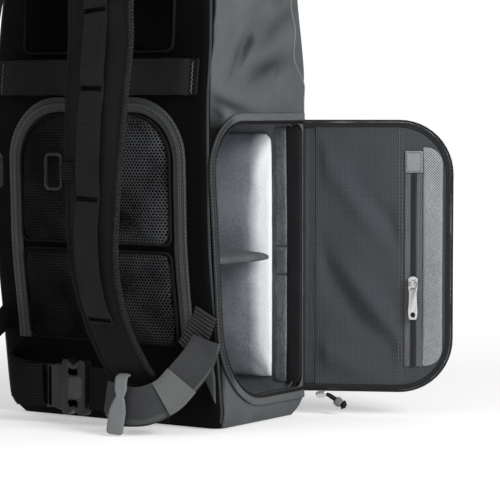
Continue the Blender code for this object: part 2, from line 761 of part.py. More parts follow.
def zip_pull():
    """Slider of the side zip below the door's lower corner, with a knotted pull."""
    edge = DOOR_LOW - GAP * 3 - DOOR_BINDING - COIL_WIDTH
    start = HINGE_STEP + GAP
    base = -DOOR_THICK
    length = SLIDER_LENGTH * 0.8
    along = (start, start + length)
    upright = (edge - SLIDER_WIDTH * 0.7, edge)
    door_block("zip_slider", along, upright, (base, base + DOOR_THICK), "metal")
    rows = [(0.0, 0.0), (0.30, -0.12), (0.62, -0.36), (1.0, -0.52)]
    path = []
    for share, drop in smooth_rows(rows, 3):
        u = start + length + GAP + share * PULL_LENGTH * 0.55
        v = edge - SLIDER_WIDTH * 0.35 + drop * SLIDER_LENGTH
        path.append(door_point(u, v, base + DOOR_THICK / 2))
    across = [Vector((0, 0, 1)) for point in path]
    widths = [0.8, 0.9, 1.0, 1.1, 1.0, 0.9, 1.2, 1.9, 1.9, 1.1]
    half = CORD * 0.5
    section = [(half * cos(a * pi / 3), half * sin(a * pi / 3)) for a in range(6)]
    sweep("zip_cord_pull", path, across, section, "black_webbing", scales=widths)


INSERT_INSIDE = CLOTH + INSERT_GAP + INSERT_WALL


def insert_front(z):
    return body_front(z) - INSERT_INSIDE - GAP


def on_insert_front(u, z, rise):
    return Vector((u, insert_front(z) - SEAT - rise, z))


def on_divider(u, v, rise):
    return Vector((u, v, DIVIDER_HEIGHT - DIVIDER_THICK / 2 + rise))


def compartment():
    """Plush front wall of the compartment, its dark edge strip and the level divider."""
    reach = HALF_WIDTH - INSERT_INSIDE - BINDING_WIDTH
    low = OPENING_LOW + GAP * 10
    high = OPENING_HIGH - GAP * 10
    wall = pad_outline(reach * 0.58, low, high, even_corners(PLUSH_THICK * 0.66))
    wall = [(u + reach * 0.30, v) for u, v in wall]
    dome("plush_wall", wall, on_insert_front, PLUSH_THICK, "plush", PAD_CROWN)
    strip_left = reach * 0.88 + GAP * 2
    strip = pad_outline((reach - strip_left) / 2, low, high, even_corners(CLOTH * 0.8), 2, 2)
    strip = [(u + (reach + strip_left) / 2, v) for u, v in strip]
    dome("hook_strip", strip, on_insert_front, CLOTH, "dark_plush", FLAT_CROWN)
    divider(reach)


def divider(reach):
    """Padded shelf from the compartment's back to its plush wall."""
    back = body_back(DIVIDER_HEIGHT) + INSERT_INSIDE + SEAT * 2
    front = insert_front(DIVIDER_HEIGHT) - PLUSH_THICK - SEAT * 4
    corners = even_corners(DIVIDER_THICK * 0.66)
    outline = rounded_outline((-reach * 0.25, back), (reach * 0.94, front), corners, 3)
    dome("level_divider", outline, on_divider, DIVIDER_THICK, "dark_plush", FLAT_CROWN)


# Left run of the hip belt's webbing, from the pack's rear edge to the buckle.
# Columns: half width share, reach share, height share, turn, tilt
BELT_LEFT = [
    (-0.93, 0.045, 0.088, -90.0, 82.0),
    (-0.86, 0.24, 0.086, -90.0, 83.0),
    (-0.76, 0.90, 0.082, -90.0, 87.0),
    (-0.62, 1.10, 0.076, -90.0, 89.0),
    (-0.50, 1.12, 0.073, -90.0, 90.0),
    (-0.43, 1.12, 0.0715, -90.0, 90.0),
    (-0.36, 1.12, 0.0715, -90.0, 90.0),
]
# Right run, from the buckle behind the strap to the stacked end
BELT_RIGHT = [
    (0.025, 1.12, 0.0705, -90.0, 90.0),
    (0.12, 1.10, 0.0705, -90.0, 90.0),
    (0.22, 1.00, 0.067, -90.0, 90.0),
    (0.42, 0.90, 0.062, -90.0, 90.0),
    (0.62, 1.00, 0.060, -90.0, 90.0),
    (0.79, 1.44, 0.062, -90.0, 84.0),
]
# The stacked end of the belt, from before the strap to the pack's lower corner
BELT_STACK = [
    (0.36, 1.98, 0.058, 8.0, 84.0),
    (0.54, 2.14, 0.054, 10.0, 82.0),
    (0.69, 2.02, 0.056, 20.0, 108.0),
    (0.82, 1.62, 0.074, 30.0, 126.0),
    (0.90, 1.20, 0.104, 30.0, 136.0),
    (0.955, 0.66, 0.140, 18.0, 138.0),
    (0.975, 0.32, 0.172, 0.0, 140.0),
]
BELT_STEPS = 4
KEEPER_START = 11
KEEPER_END = 16
# Ribbed webbing that hangs from the rear seam, with a cut end
RIBBED_TAIL = [
    (0.955, 0.110, 0.222, 0.0, -35.0),
    (0.890, 0.150, 0.188, 0.0, -38.0),
    (0.790, 0.26, 0.150, 0.0, -40.0),
]
# Grey folded pull that hangs from the strap's end to the floor
GREY_PULL = [
    (0.525, 1.83, 0.1062, 8.0, 0.0),
    (0.540, 2.08, 0.1100, 8.0, 0.0),
    (0.555, 2.30, 0.1020, 10.0, 0.0),
    (0.555, 2.38, 0.0750, 12.0, 0.0),
    (0.535, 2.44, 0.0500, 14.0, 0.0),
    (0.510, 2.53, 0.0220, 14.0, 0.0),
    (0.500, 2.69, 0.0030, 14.0, 0.0),
]
# Fold of spare webbing beside the buckle
BELT_FOLD = [
    (-0.3655, 1.322, 0.072, 0.0, 90.0),
    (-0.450, 1.50, 0.071, 0.0, 90.0),
    (-0.560, 1.44, 0.071, 0.0, 90.0),
]
# Plain webbing from the left strap's end to the pack's left corner
LEFT_TETHER = [
    (-0.81, 1.80, 0.150, -70.0, 80.0),
    (-0.87, 1.10, 0.168, -80.0, 80.0),
    (-0.93, 0.24, 0.186, -90.0, 82.0),
    (-0.95, 0.080, 0.190, -90.0, 82.0),
]


def hip_belt():
    section = flat_section(BELT_WIDTH, WEB_THICK, -WEB_THICK / 2)
    path, across = harness_path(BELT_LEFT, BELT_REACH, BELT_STEPS)
    sweep("belt_webbing_left", path, across, section, "black_webbing")
    end = path[-1]
    path, across = harness_path(BELT_RIGHT, BELT_REACH, BELT_STEPS)
    sweep("belt_webbing_right", path, across, section, "black_webbing")
    buckle(end, path[0])
    path, across = harness_path(BELT_FOLD, BELT_REACH, BELT_STEPS)
    sweep("belt_fold", path, across, padded_section(BELT_WIDTH, STACK_THICK), "black_webbing")
    path, across = harness_path(BELT_STACK, BELT_REACH, BELT_STEPS)
    section = flat_section(BELT_WIDTH, STACK_THICK, -STACK_THICK / 2)
    sweep("belt_stack", path, across, section, "black_webbing")
    keeper(path[KEEPER_START:KEEPER_END], across[KEEPER_START:KEEPER_END])
    path, across = harness_path(RIBBED_TAIL, BELT_REACH, BELT_STEPS)
    section = flat_section(TAIL_WIDTH, WEB_THICK, -WEB_THICK / 2)
    sweep("ribbed_tail", path, across, section, "black_webbing")
    path, across = harness_path(GREY_PULL, BELT_REACH, BELT_STEPS)
    section = padded_section(GREY_WIDTH, WEB_THICK * 1.6)
    sweep("grey_pull", path, across, section, "grey_binding")
    path, across = harness_path(LEFT_TETHER, BELT_REACH, BELT_STEPS)
    section = flat_section(TAIL_WIDTH, WEB_THICK, -WEB_THICK / 2)
    sweep("strap_tether_left", path, across, section, "black_webbing")
    corner_gusset()


def keeper(path, across):
    """Elastic sleeve that holds the belt's stacked end."""
    inner_width = BELT_WIDTH + GAP * 2
    inner_thick = STACK_THICK + GAP * 2
    wall = WEB_THICK * 0.7
    section = flat_section(inner_width + wall * 2, inner_thick + wall * 2, -inner_thick / 2 - wall)
    sleeve = sweep("belt_keeper", path, across, section, "grey_binding")
    longer = [path[0] + (path[0] - path[1])] + path[1:-1] + [path[-1] + (path[-1] - path[-2])]
    section = flat_section(inner_width, inner_thick, -inner_thick / 2)
    boolean(sleeve, sweep("keeper_cutter", longer, across, section, "grey_binding"), "DIFFERENCE")


def corner_gusset():
    """Triangle of cloth where the belt meets the pack's rear corner."""
    shares = [(0.865, 0.110), (0.965, 0.052), (0.975, 0.100), (0.955, 0.142)]
    outline = [(x * HALF_WIDTH, z * HEIGHT) for x, z in shares]
    dome("corner_gusset", outline, on_back, CLOTH, "shell_fabric", FLAT_CROWN)


# Each half of the buckle. Columns: share of its length, share of its width
BUCKLE_WAIST = [(0.0, 0.80), (0.12, 1.0), (0.55, 0.90), (0.88, 1.0), (1.0, 0.86)]
BUCKLE_SECTION = [(-1, -0.6), (-0.8, -1), (0.8, -1), (1, -0.6), (1, 0.6), (0.8, 1), (-0.8, 1), (-1, 0.6)]


def buckle(left, right):
    """Side release buckle: the receiving half on the right, the pronged half on the left."""
    centre_z = (left.z + right.z) / 2
    y = (left.y + right.y) / 2
    span = right.x - left.x - SEAT * 3
    x = left.x + SEAT
    split = span * 0.42
    for name, start, end, width in (("buckle_prongs", 0.0, split - GAP / 2, BUCKLE_WIDTH * 0.88),
                                    ("buckle_socket", split + GAP / 2, span, BUCKLE_WIDTH)):
        rings = []
        for share, scale in BUCKLE_WAIST:
            place = x + start + (end - start) * share
            half = width / 2 * scale
            thick = BUCKLE_THICK / 2 * (0.75 + 0.25 * scale)
            outline = [(a * half, b * thick) for a, b in BUCKLE_SECTION]
            rings.append([Vector((place, y + b, centre_z + a)) for a, b in outline])
        loft(name, rings, "black_plastic")


def front_panel():
    """Padded panel that fills the pack's front face."""
    half = HALF_WIDTH * 0.86
    corners = even_corners(half * 0.30)
    outline = pad_outline(half, HEIGHT * 0.06, HEIGHT * 0.80, corners, 4, 6)
    dome("front_panel", outline, on_front, PAD_THICK * 0.7, "shell_fabric", PAD_CROWN)


def grab_handle():
    """Webbing loop on top of the pack."""
    rows = [(-0.62, 0.0), (-0.56, 0.5), (-0.40, 0.92), (0.0, 1.0), (0.40, 0.92), (0.56, 0.5), (0.62, 0.0)]
    rise = HEIGHT * 0.055
    width = HALF_WIDTH * 0.8
    path = [Vector((x * width, 0, HEIGHT + SEAT + z * rise)) for x, z in smooth_rows(rows, 3)]
    across = [Vector((0, 1, 0)) for point in path]
    sweep("grab_handle", path, across, flat_section(RIB_WIDTH, STACK_THICK / 2), "black_webbing")


cutter = body()
insert(cutter)
compartment()
opening_trim()
door()
zip_pull()
rear_panel()
shoulder_straps()
hip_belt()
front_panel()
grab_handle()
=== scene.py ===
"""Dressed camera backpack: cloth, webbing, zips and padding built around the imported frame."""
from math import cos, pi, radians, sin

import bmesh
import bpy
import numpy as np
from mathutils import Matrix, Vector, noise


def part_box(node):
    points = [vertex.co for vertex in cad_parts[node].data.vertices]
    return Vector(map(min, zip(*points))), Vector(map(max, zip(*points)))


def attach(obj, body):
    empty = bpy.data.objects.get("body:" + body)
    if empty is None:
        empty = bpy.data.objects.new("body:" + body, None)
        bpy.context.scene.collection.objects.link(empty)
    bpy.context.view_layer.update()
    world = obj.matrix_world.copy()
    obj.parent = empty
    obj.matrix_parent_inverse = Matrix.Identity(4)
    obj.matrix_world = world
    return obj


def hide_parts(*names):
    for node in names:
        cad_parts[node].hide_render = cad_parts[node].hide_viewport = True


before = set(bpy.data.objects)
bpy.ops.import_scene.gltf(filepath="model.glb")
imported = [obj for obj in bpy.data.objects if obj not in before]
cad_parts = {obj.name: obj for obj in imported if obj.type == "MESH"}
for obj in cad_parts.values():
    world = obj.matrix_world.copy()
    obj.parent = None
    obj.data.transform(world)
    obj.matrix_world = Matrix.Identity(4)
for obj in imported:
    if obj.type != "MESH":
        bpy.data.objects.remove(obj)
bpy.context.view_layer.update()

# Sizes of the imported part, in metres
HEIGHT = 0.470
HALF_WIDTH = 0.120
HALF_DEPTH = 0.080
CLOTH = 0.0025
FOLD_DEPTH = 0.0035
GAP = 0.0003
SEAT = 0.0005
FRONT_SEAT = 0.0009
OPENING_LOW = 0.026
OPENING_HIGH = 0.266
OPENING_REACH = 0.069
OPENING_MARGIN = 0.0105
BINDING_WIDTH = 0.0068
BINDING_THICK = 0.0022
ZIP_WIDTH = 0.0028
INSERT_WALL = 0.005
INSERT_GAP = 0.0016
INSERT_HIGH = 0.282
DIVIDER_HEIGHT = 0.146
DOOR_ANGLE = 116.0
DOOR_WIDTH = 0.118
DOOR_LOW = 0.029
DOOR_HIGH = 0.2625
DOOR_THICK = 0.0035
DOOR_CORNER = 0.042
DOOR_BINDING = 0.0045
COIL_WIDTH = 0.0022
HINGE_STEP = 0.010
POCKET_SEAM = 0.0915
POCKET_INSET = 0.0176
POCKET_ROUND = 0.85
TAPE_WIDTH = 0.016
TAPE_THICK = 0.0010
TAPE_LOW = 0.046
TAPE_HIGH = 0.221
POCKET_COIL = 0.0044
POCKET_THICK = 0.0022
SLIDER_HEIGHT = 0.122
SLIDER_WIDTH = 0.0085
SLIDER_LENGTH = 0.0120
SLIDER_THICK = 0.0026
PULL_LENGTH = 0.0330
PULL_WIDTH = 0.0086
PULL_THICK = 0.0016
PULL_CLEAR = 0.0005
PAD_HALF_WIDTH = 0.084
PAD_LOW = 0.072
PAD_CREASE = 0.158
PAD_HIGH = 0.276
CREASE_GAP = 0.004
TRACK_WIDTH = 0.014
TRACK_THICK = 0.0016
BAND_LOW = 0.2915
BAND_HIGH = 0.323
BAND_THICK = 0.0022
TOP_PAD_LOW = 0.328
TOP_PAD_HIGH = 0.404
STRAP_REACH = 0.096
STRAP_WIDTH = 0.066
STRAP_THICK = 0.011
RIB_WIDTH = 0.024
WEB_THICK = 0.0018
RING_WIDTH = 0.020
RING_HEIGHT = 0.032
RING_WIRE = 0.0032
BELT_WIDTH = 0.038
BELT_REACH = 0.030
BUCKLE_WIDTH = 0.050
BUCKLE_THICK = 0.011
STACK_THICK = 0.0060
TAIL_WIDTH = 0.024
GREY_WIDTH = 0.016
CORD = 0.0024

# Camera: turn from the rear panel's normal, rise, distance and what it looks at
VIEW_TURN = radians(34.0)
VIEW_RISE = radians(3.6)
VIEW_DISTANCE = 2.0
VIEW_TARGET = Vector((0.12, -0.016, 0.1555))
VIEW_LENS = 36 * 2270 / 500


# Shape of the pack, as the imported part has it
def eased(table, column, share):
    """Read one column of a table at a share of its first column, without overshoot."""
    places = np.array([row[0] for row in table])
    values = np.array([row[column] for row in table])
    slopes = np.diff(values) / np.diff(places)
    tangents = np.zeros(len(places))
    tangents[0] = slopes[0]
    tangents[-1] = slopes[-1]
    for i in range(1, len(places) - 1):
        if slopes[i - 1] * slopes[i] > 0:
            tangents[i] = 2 * slopes[i - 1] * slopes[i] / (slopes[i - 1] + slopes[i])
    share = min(max(share, places[0]), places[-1])
    i = min(int(np.searchsorted(places, share, side="right")) - 1, len(places) - 2)
    span = places[i + 1] - places[i]
    t = (share - places[i]) / span
    start = (2 * t**3 - 3 * t**2 + 1) * values[i] + (t**3 - 2 * t**2 + t) * span * tangents[i]
    end = (3 * t**2 - 2 * t**3) * values[i + 1] + (t**3 - t**2) * span * tangents[i + 1]
    return start + end


# Level sections of the body. Columns: height share, half width share, back share and
# front share of the half depth, back corner share and front corner share of it
SECTIONS = [
    (0.000, 0.935, 0.660, 0.900, 0.14, 0.14),
    (0.020, 0.982, 0.735, 0.945, 0.12, 0.12),
    (0.040, 1.000, 0.765, 0.965, 0.11, 0.10),
    (0.085, 1.000, 0.800, 0.975, 0.10, 0.08),
    (0.180, 1.000, 0.870, 0.985, 0.10, 0.08),
    (0.360, 1.000, 0.995, 0.985, 0.10, 0.08),
    (0.600, 1.000, 1.025, 0.960, 0.10, 0.09),
    (0.660, 1.000, 0.995, 0.975, 0.10, 0.12),
    (0.720, 0.990, 0.945, 1.000, 0.11, 0.18),
    (0.810, 0.975, 0.910, 0.985, 0.15, 0.28),
    (0.900, 0.940, 0.850, 0.880, 0.22, 0.34),
    (0.960, 0.880, 0.730, 0.740, 0.30, 0.36),
    (1.000, 0.760, 0.560, 0.540, 0.34, 0.36),
]
# Soft folds. Columns: face, place across and up, length, spread, lean in degrees, depth.
# Lengths are shares of the height, the depth is a share of FOLD_DEPTH
FOLDS = [
    ("right", -0.06, 0.735, 0.10, 0.022, 38.0, -0.9),
    ("right", 0.05, 0.700, 0.08, 0.024, -22.0, 0.8),
    ("right", 0.02, 0.800, 0.12, 0.030, 20.0, 0.9),
    ("left", 0.02, 0.300, 0.16, 0.034, 24.0, 0.9),
    ("left", -0.04, 0.665, 0.12, 0.026, -30.0, -0.9),
    ("left", 0.05, 0.780, 0.14, 0.034, 18.0, 0.9),
]


def body_back(z):
    return -HALF_DEPTH * eased(SECTIONS, 2, z / HEIGHT)


def body_front(z):
    return HALF_DEPTH * eased(SECTIONS, 3, z / HEIGHT)


def body_half_width(z):
    return HALF_WIDTH * eased(SECTIONS, 1, z / HEIGHT)


def folds_at(rows, across, up):
    """Sum of soft folds at a place. Columns: place across and up, length, spread,
    lean in degrees, depth."""
    offset = 0.0
    for place, high, length, spread, lean, depth in rows:
        u = across - place
        v = up - high
        along = u * cos(radians(lean)) + v * sin(radians(lean))
        beside = v * cos(radians(lean)) - u * sin(radians(lean))
        offset += depth * np.exp(-((along / length) ** 2) - (beside / spread) ** 2)
    return float(offset)


def fold_offset(face, across, z):
    rows = [row[1:] for row in FOLDS if row[0] == face]
    return FOLD_DEPTH * folds_at(rows, across / HEIGHT, z / HEIGHT)


def rounded_outline(low, high, corners, steps):
    """A rectangle with a radius of its own at each corner, counter-clockwise from
    the upper right. Columns of corners: sign across, sign up, radius."""
    points = []
    for index, (across, up, radius) in enumerate(corners):
        centre_u = (high[0] - radius) if across > 0 else (low[0] + radius)
        centre_v = (high[1] - radius) if up > 0 else (low[1] + radius)
        for step in range(steps + 1):
            angle = radians(90 * (index + step / steps))
            points.append((centre_u + radius * cos(angle), centre_v + radius * sin(angle)))
    return points


# Corner radii of the side opening, as shares of its height. Columns: across, up, radius
OPENING_CORNERS = [(1, 1, 0.04), (-1, 1, 0.17), (-1, -1, 0.25), (1, -1, 0.05)]


def opening_outline(grow, steps):
    """Outline of the side opening in (y, z), grown outward by a width. Its rear edge
    keeps a margin to the rear panel, which leans in towards the base."""
    height = OPENING_HIGH - OPENING_LOW
    corners = [(across, up, share * height + grow) for across, up, share in OPENING_CORNERS]
    rear = body_back((OPENING_LOW + OPENING_HIGH) / 2) + OPENING_MARGIN
    low = (rear - grow, OPENING_LOW - grow)
    high = (OPENING_REACH + grow, OPENING_HIGH + grow)
    points = []
    for y, z in rounded_outline(low, high, corners, steps):
        lean = body_back(z) + OPENING_MARGIN - rear
        points.append((y + lean * (high[0] - y) / (high[0] - low[0]), z))
    return points


def even_corners(radius):
    """The same radius at each corner of a rounded outline."""
    return [(1, 1, radius), (-1, 1, radius), (-1, -1, radius), (1, -1, radius)]


def smooth_rows(rows, steps):
    """Rows of numbers read at even steps along a smooth curve through them."""
    values = np.array(rows, float)
    result = []
    for i in range(len(values) - 1):
        first = values[max(i - 1, 0)]
        start, end = values[i], values[i + 1]
        last = values[min(i + 2, len(values) - 1)]
        for step in range(steps):
            t = step / steps
            curve = 2 * start + (end - first) * t
            curve = curve + (2 * first - 5 * start + 4 * end - last) * t**2
            curve = curve + (3 * start - first - 3 * end + last) * t**3
            result.append(curve / 2)
    result.append(values[-1])
    return result


def harness_path(rows, reach, steps, side=1):
    """Path and width directions of a strap. Columns: half width share, reach share out
    from the rear panel, height share, turn and tilt of the width direction in degrees.
    Further columns are left to the caller."""
    path = []
    across = []
    for x, out, z, turn, tilt, *rest in smooth_rows(rows, steps):
        height = z * HEIGHT
        path.append(Vector((side * x * HALF_WIDTH, body_back(height) - out * reach, height)))
        turn = radians(turn)
        tilt = radians(tilt)
        across.append(Vector((side * cos(tilt) * cos(turn), cos(tilt) * sin(turn), sin(tilt))))
    return path, across


def on_back(u, v, rise):
    return Vector((u, body_back(v) - SEAT - rise, v))


def on_front(u, v, rise):
    return Vector((u, body_front(v) + FRONT_SEAT + rise, v))


# Shoulder strap. Columns: half width share, reach share, height share, turn and tilt,
# the share of the strap's width, and how far out the left strap spreads
STRAP_ROUTE = [
    (0.40, 0.066, 0.882, 0.0, 0.0, 0.96, 0.00),
    (0.40, 0.072, 0.908, 0.0, 0.0, 0.96, 0.00),
    (0.42, 0.22, 0.946, 0.0, 0.0, 1.00, 0.00),
    (0.46, 0.50, 0.955, 0.0, 0.0, 1.00, 0.00),
    (0.52, 0.78, 0.905, 0.0, 0.0, 1.00, 0.00),
    (0.58, 0.94, 0.800, 0.0, 0.0, 1.00, 0.00),
    (0.62, 0.98, 0.690, 0.0, 0.0, 1.00, 0.00),
    (0.62, 0.99, 0.600, 0.0, 0.0, 0.96, 0.00),
    (0.595, 1.00, 0.470, 0.0, 0.0, 0.85, 0.00),
    (0.575, 1.00, 0.365, 0.0, 0.0, 0.78, 0.03),
    (0.570, 0.97, 0.285, 0.0, 0.0, 0.71, 0.09),
    (0.545, 0.84, 0.212, 4.0, 0.0, 0.66, 0.19),
    (0.525, 0.64, 0.146, 8.0, 0.0, 0.65, 0.27),
    (0.500, 0.43, 0.100, 10.0, 0.0, 0.65, 0.32),
]


def door_point(u, z, rise):
    """A place on the door: along it from the hinge, up, and out from its inner face."""
    angle = radians(DOOR_ANGLE)
    along = Vector((sin(angle), -cos(angle), 0))
    inner = Vector((-cos(angle), -sin(angle), 0))
    corner = HALF_DEPTH * eased(SECTIONS, 5, OPENING_LOW / HEIGHT)
    hinge = Vector((HALF_WIDTH + GAP * 3, body_front(OPENING_LOW) - corner * 0.8, 0))
    return hinge + along * u + inner * rise + Vector((0, 0, z))


def door_outline(grow, steps):
    radius = DOOR_CORNER + grow
    small = GAP * 4
    low = (HINGE_STEP, DOOR_LOW - grow)
    high = (HINGE_STEP + DOOR_WIDTH + grow, DOOR_HIGH + grow)
    corners = [(1, 1, radius), (-1, 1, small), (-1, -1, small), (1, -1, radius)]
    return rounded_outline(low, high, corners, steps)


# Left run of the hip belt's webbing, from the pack's rear edge to the buckle.
# Columns: half width share, reach share, height share, turn, tilt
BELT_LEFT = [
    (-0.93, 0.045, 0.088, -90.0, 82.0),
    (-0.86, 0.24, 0.086, -90.0, 83.0),
    (-0.76, 0.90, 0.082, -90.0, 87.0),
    (-0.62, 1.10, 0.076, -90.0, 89.0),
    (-0.50, 1.12, 0.073, -90.0, 90.0),
    (-0.43, 1.12, 0.0715, -90.0, 90.0),
    (-0.36, 1.12, 0.0715, -90.0, 90.0),
]
# Right run, from the buckle behind the strap to the stacked end
BELT_RIGHT = [
    (0.025, 1.12, 0.0705, -90.0, 90.0),
    (0.12, 1.10, 0.0705, -90.0, 90.0),
    (0.22, 1.00, 0.067, -90.0, 90.0),
    (0.42, 0.90, 0.062, -90.0, 90.0),
    (0.62, 1.00, 0.060, -90.0, 90.0),
    (0.79, 1.44, 0.062, -90.0, 84.0),
]
# The stacked end of the belt, from before the strap to the pack's lower corner
BELT_STACK = [
    (0.36, 1.98, 0.058, 8.0, 84.0),
    (0.54, 2.14, 0.054, 10.0, 82.0),
    (0.69, 2.02, 0.056, 20.0, 108.0),
    (0.82, 1.62, 0.074, 30.0, 126.0),
    (0.90, 1.20, 0.104, 30.0, 136.0),
    (0.955, 0.66, 0.140, 18.0, 138.0),
    (0.975, 0.32, 0.172, 0.0, 140.0),
]
# Ribbed webbing that hangs from the rear seam, with a cut end
RIBBED_TAIL = [
    (0.955, 0.110, 0.222, 0.0, -35.0),
    (0.890, 0.150, 0.188, 0.0, -38.0),
    (0.790, 0.26, 0.150, 0.0, -40.0),
]
# Grey folded pull that hangs from the strap's end to the floor
GREY_PULL = [
    (0.525, 1.83, 0.1062, 8.0, 0.0),
    (0.540, 2.08, 0.1100, 8.0, 0.0),
    (0.555, 2.30, 0.1020, 10.0, 0.0),
    (0.555, 2.38, 0.0750, 12.0, 0.0),
    (0.535, 2.44, 0.0500, 14.0, 0.0),
    (0.510, 2.53, 0.0220, 14.0, 0.0),
    (0.500, 2.69, 0.0030, 14.0, 0.0),
]
# Fold of spare webbing beside the buckle
BELT_FOLD = [
    (-0.3655, 1.322, 0.072, 0.0, 90.0),
    (-0.450, 1.50, 0.071, 0.0, 90.0),
    (-0.560, 1.44, 0.071, 0.0, 90.0),
]
# Plain webbing from the left strap's end to the pack's left corner
LEFT_TETHER = [
    (-0.81, 1.80, 0.150, -70.0, 80.0),
    (-0.87, 1.10, 0.168, -80.0, 80.0),
    (-0.93, 0.24, 0.186, -90.0, 82.0),
    (-0.95, 0.080, 0.190, -90.0, 82.0),
]


# Materials
# Specular level of all cloth, low so that black webbing stays black in side light
CLOTH_SHINE = 0.03
WOVEN_ROUGHNESS = 0.85
# Share of the half width past which painted crease shade falls on the side that the door opens
CREASED_FROM = 0.8


class Shader:
    """A Principled material put together from nodes, in the object's own coordinates."""

    def __init__(self, name, roughness=0.8, sheen=0.0, metallic=0.0, specular=0.4):
        self.material = bpy.data.materials.new(name)
        self.material.use_nodes = True
        self.tree = self.material.node_tree
        self.bsdf = self.tree.nodes["Principled BSDF"]
        self.bsdf.inputs["Roughness"].default_value = roughness
        self.bsdf.inputs["Metallic"].default_value = metallic
        self.bsdf.inputs["Specular IOR Level"].default_value = specular
        self.bsdf.inputs["Sheen Weight"].default_value = sheen
        self.bsdf.inputs["Sheen Roughness"].default_value = 0.5
        self.coordinates = self.node("TexCoord")
        self.normal = None

    def node(self, kind, **settings):
        made = self.tree.nodes.new("ShaderNode" + kind)
        for key, value in settings.items():
            setattr(made, key, value)
        return made

    def feed(self, socket, value):
        if hasattr(value, "links"):
            self.tree.links.new(value, socket)
        else:
            socket.default_value = (*value, 1.0) if isinstance(value, tuple) else value

    def math(self, operation, *values, clamp=False):
        made = self.node("Math", operation=operation, use_clamp=clamp)
        for socket, value in zip(made.inputs, values):
            self.feed(socket, value)
        return made.outputs[0]

    def times(self, first, second):
        return self.math("MULTIPLY", first, second)

    def scaled(self, value, factor, offset, clamp=False):
        return self.math("MULTIPLY_ADD", value, factor, offset, clamp=clamp)

    def minus(self, first, second, clamp=False):
        return self.math("SUBTRACT", first, second, clamp=clamp)

    def split(self, vector):
        made = self.node("SeparateXYZ")
        self.feed(made.inputs[0], vector)
        return made.outputs[0], made.outputs[1], made.outputs[2]

    def flat(self):
        """Place along the piece's own width and length, in metres."""
        return self.split(self.coordinates.outputs["UV"])[:2]

    def surface(self):
        """Place on the surface along two directions, from the side that it faces."""
        x, y, z = self.split(self.coordinates.outputs["Object"])
        nx, ny, nz = [self.math("ABSOLUTE", n) for n in self.split(self.coordinates.outputs["Normal"])]
        faces_x = self.math("GREATER_THAN", nx, self.math("MAXIMUM", ny, nz))
        faces_z = self.math("GREATER_THAN", nz, self.math("MAXIMUM", nx, ny))
        u = self.scaled(faces_x, self.minus(y, x), x)
        v = self.scaled(faces_z, self.minus(y, z), z)
        return u, v

    def wave(self, coordinate, pitch):
        return self.math("SINE", self.times(coordinate, 2 * pi / pitch))

    def weave(self, u, v, pitch, cross=1.0):
        """Plain weave, from 0 in its holes to 1 on its threads."""
        both = self.times(self.wave(u, pitch), self.wave(v, pitch * cross))
        return self.scaled(both, 0.5, 0.5)

    def lines(self, coordinate, pitch, width):
        """Thin lines every pitch, 1 in their middle."""
        away = self.math("PINGPONG", coordinate, pitch / 2)
        return self.minus(1.0, self.math("DIVIDE", away, width), clamp=True)

    def holes(self, u, v, pitch, radius, soft):
        """Staggered round holes, 1 inside them."""
        rise = pitch * 3**0.5
        found = []
        for shift in (0.0, 0.5):
            a = self.math("WRAP", self.math("ADD", u, pitch * shift), -pitch / 2, pitch / 2)
            b = self.math("WRAP", self.math("ADD", v, rise * shift), -rise / 2, rise / 2)
            square = self.math("ADD", self.times(a, a), self.times(b, b))
            found.append(self.math("SQRT", square))
        nearest = self.math("MINIMUM", *found)
        return self.math("DIVIDE", self.minus(radius, nearest), soft, clamp=True)

    def noise(self, scale, detail=2.0, roughness=0.5, stretch=None):
        made = self.node("TexNoise")
        made.inputs["Scale"].default_value = scale
        made.inputs["Detail"].default_value = detail
        made.inputs["Roughness"].default_value = roughness
        source = self.coordinates.outputs["Object"]
        if stretch:
            mapping = self.node("Mapping")
            mapping.inputs["Scale"].default_value = stretch
            self.feed(mapping.inputs["Vector"], source)
            source = mapping.outputs[0]
        self.feed(made.inputs["Vector"], source)
        return made.outputs[0]

    def ramp(self, value, low, high):
        made = self.node("MapRange", clamp=True)
        self.feed(made.inputs[0], value)
        made.inputs[1].default_value = low
        made.inputs[2].default_value = high
        return made.outputs[0]

    def mix(self, factor, first, second):
        made = self.node("Mix", data_type="RGBA")
        self.feed(made.inputs["Factor"], factor)
        self.feed(made.inputs[6], first)
        self.feed(made.inputs[7], second)
        return made.outputs[2]

    def relief(self, height, distance, strength=1.0):
        """Add a bump of this depth in metres, on top of those before it."""
        made = self.node("Bump")
        made.inputs["Strength"].default_value = strength
        made.inputs["Distance"].default_value = distance
        self.feed(made.inputs["Height"], height)
        if self.normal is not None:
            self.feed(made.inputs["Normal"], self.normal)
        self.normal = made.outputs[0]

    def done(self, colour, roughness=None):
        self.feed(self.bsdf.inputs["Base Color"], colour)
        if roughness is not None:
            self.feed(self.bsdf.inputs["Roughness"], roughness)
        if self.normal is not None:
            self.feed(self.bsdf.inputs["Normal"], self.normal)
        return self.material


# Painted shade in the creases of the side panel.
# Columns: place across and up, length, spread, lean, darkness of the shade
CREASES = [
    (-0.046, 0.2835, 0.034, 0.0045, -14.0, 0.80),
    (-0.064, 0.2750, 0.013, 0.0030, -32.0, 0.65),
    (0.010, 0.3160, 0.030, 0.0100, 16.0, 0.75),
    (-0.030, 0.3300, 0.026, 0.0060, 52.0, 0.50),
    (0.030, 0.3560, 0.040, 0.0080, 30.0, 0.50),
    (-0.010, 0.3900, 0.044, 0.0080, -18.0, 0.50),
]


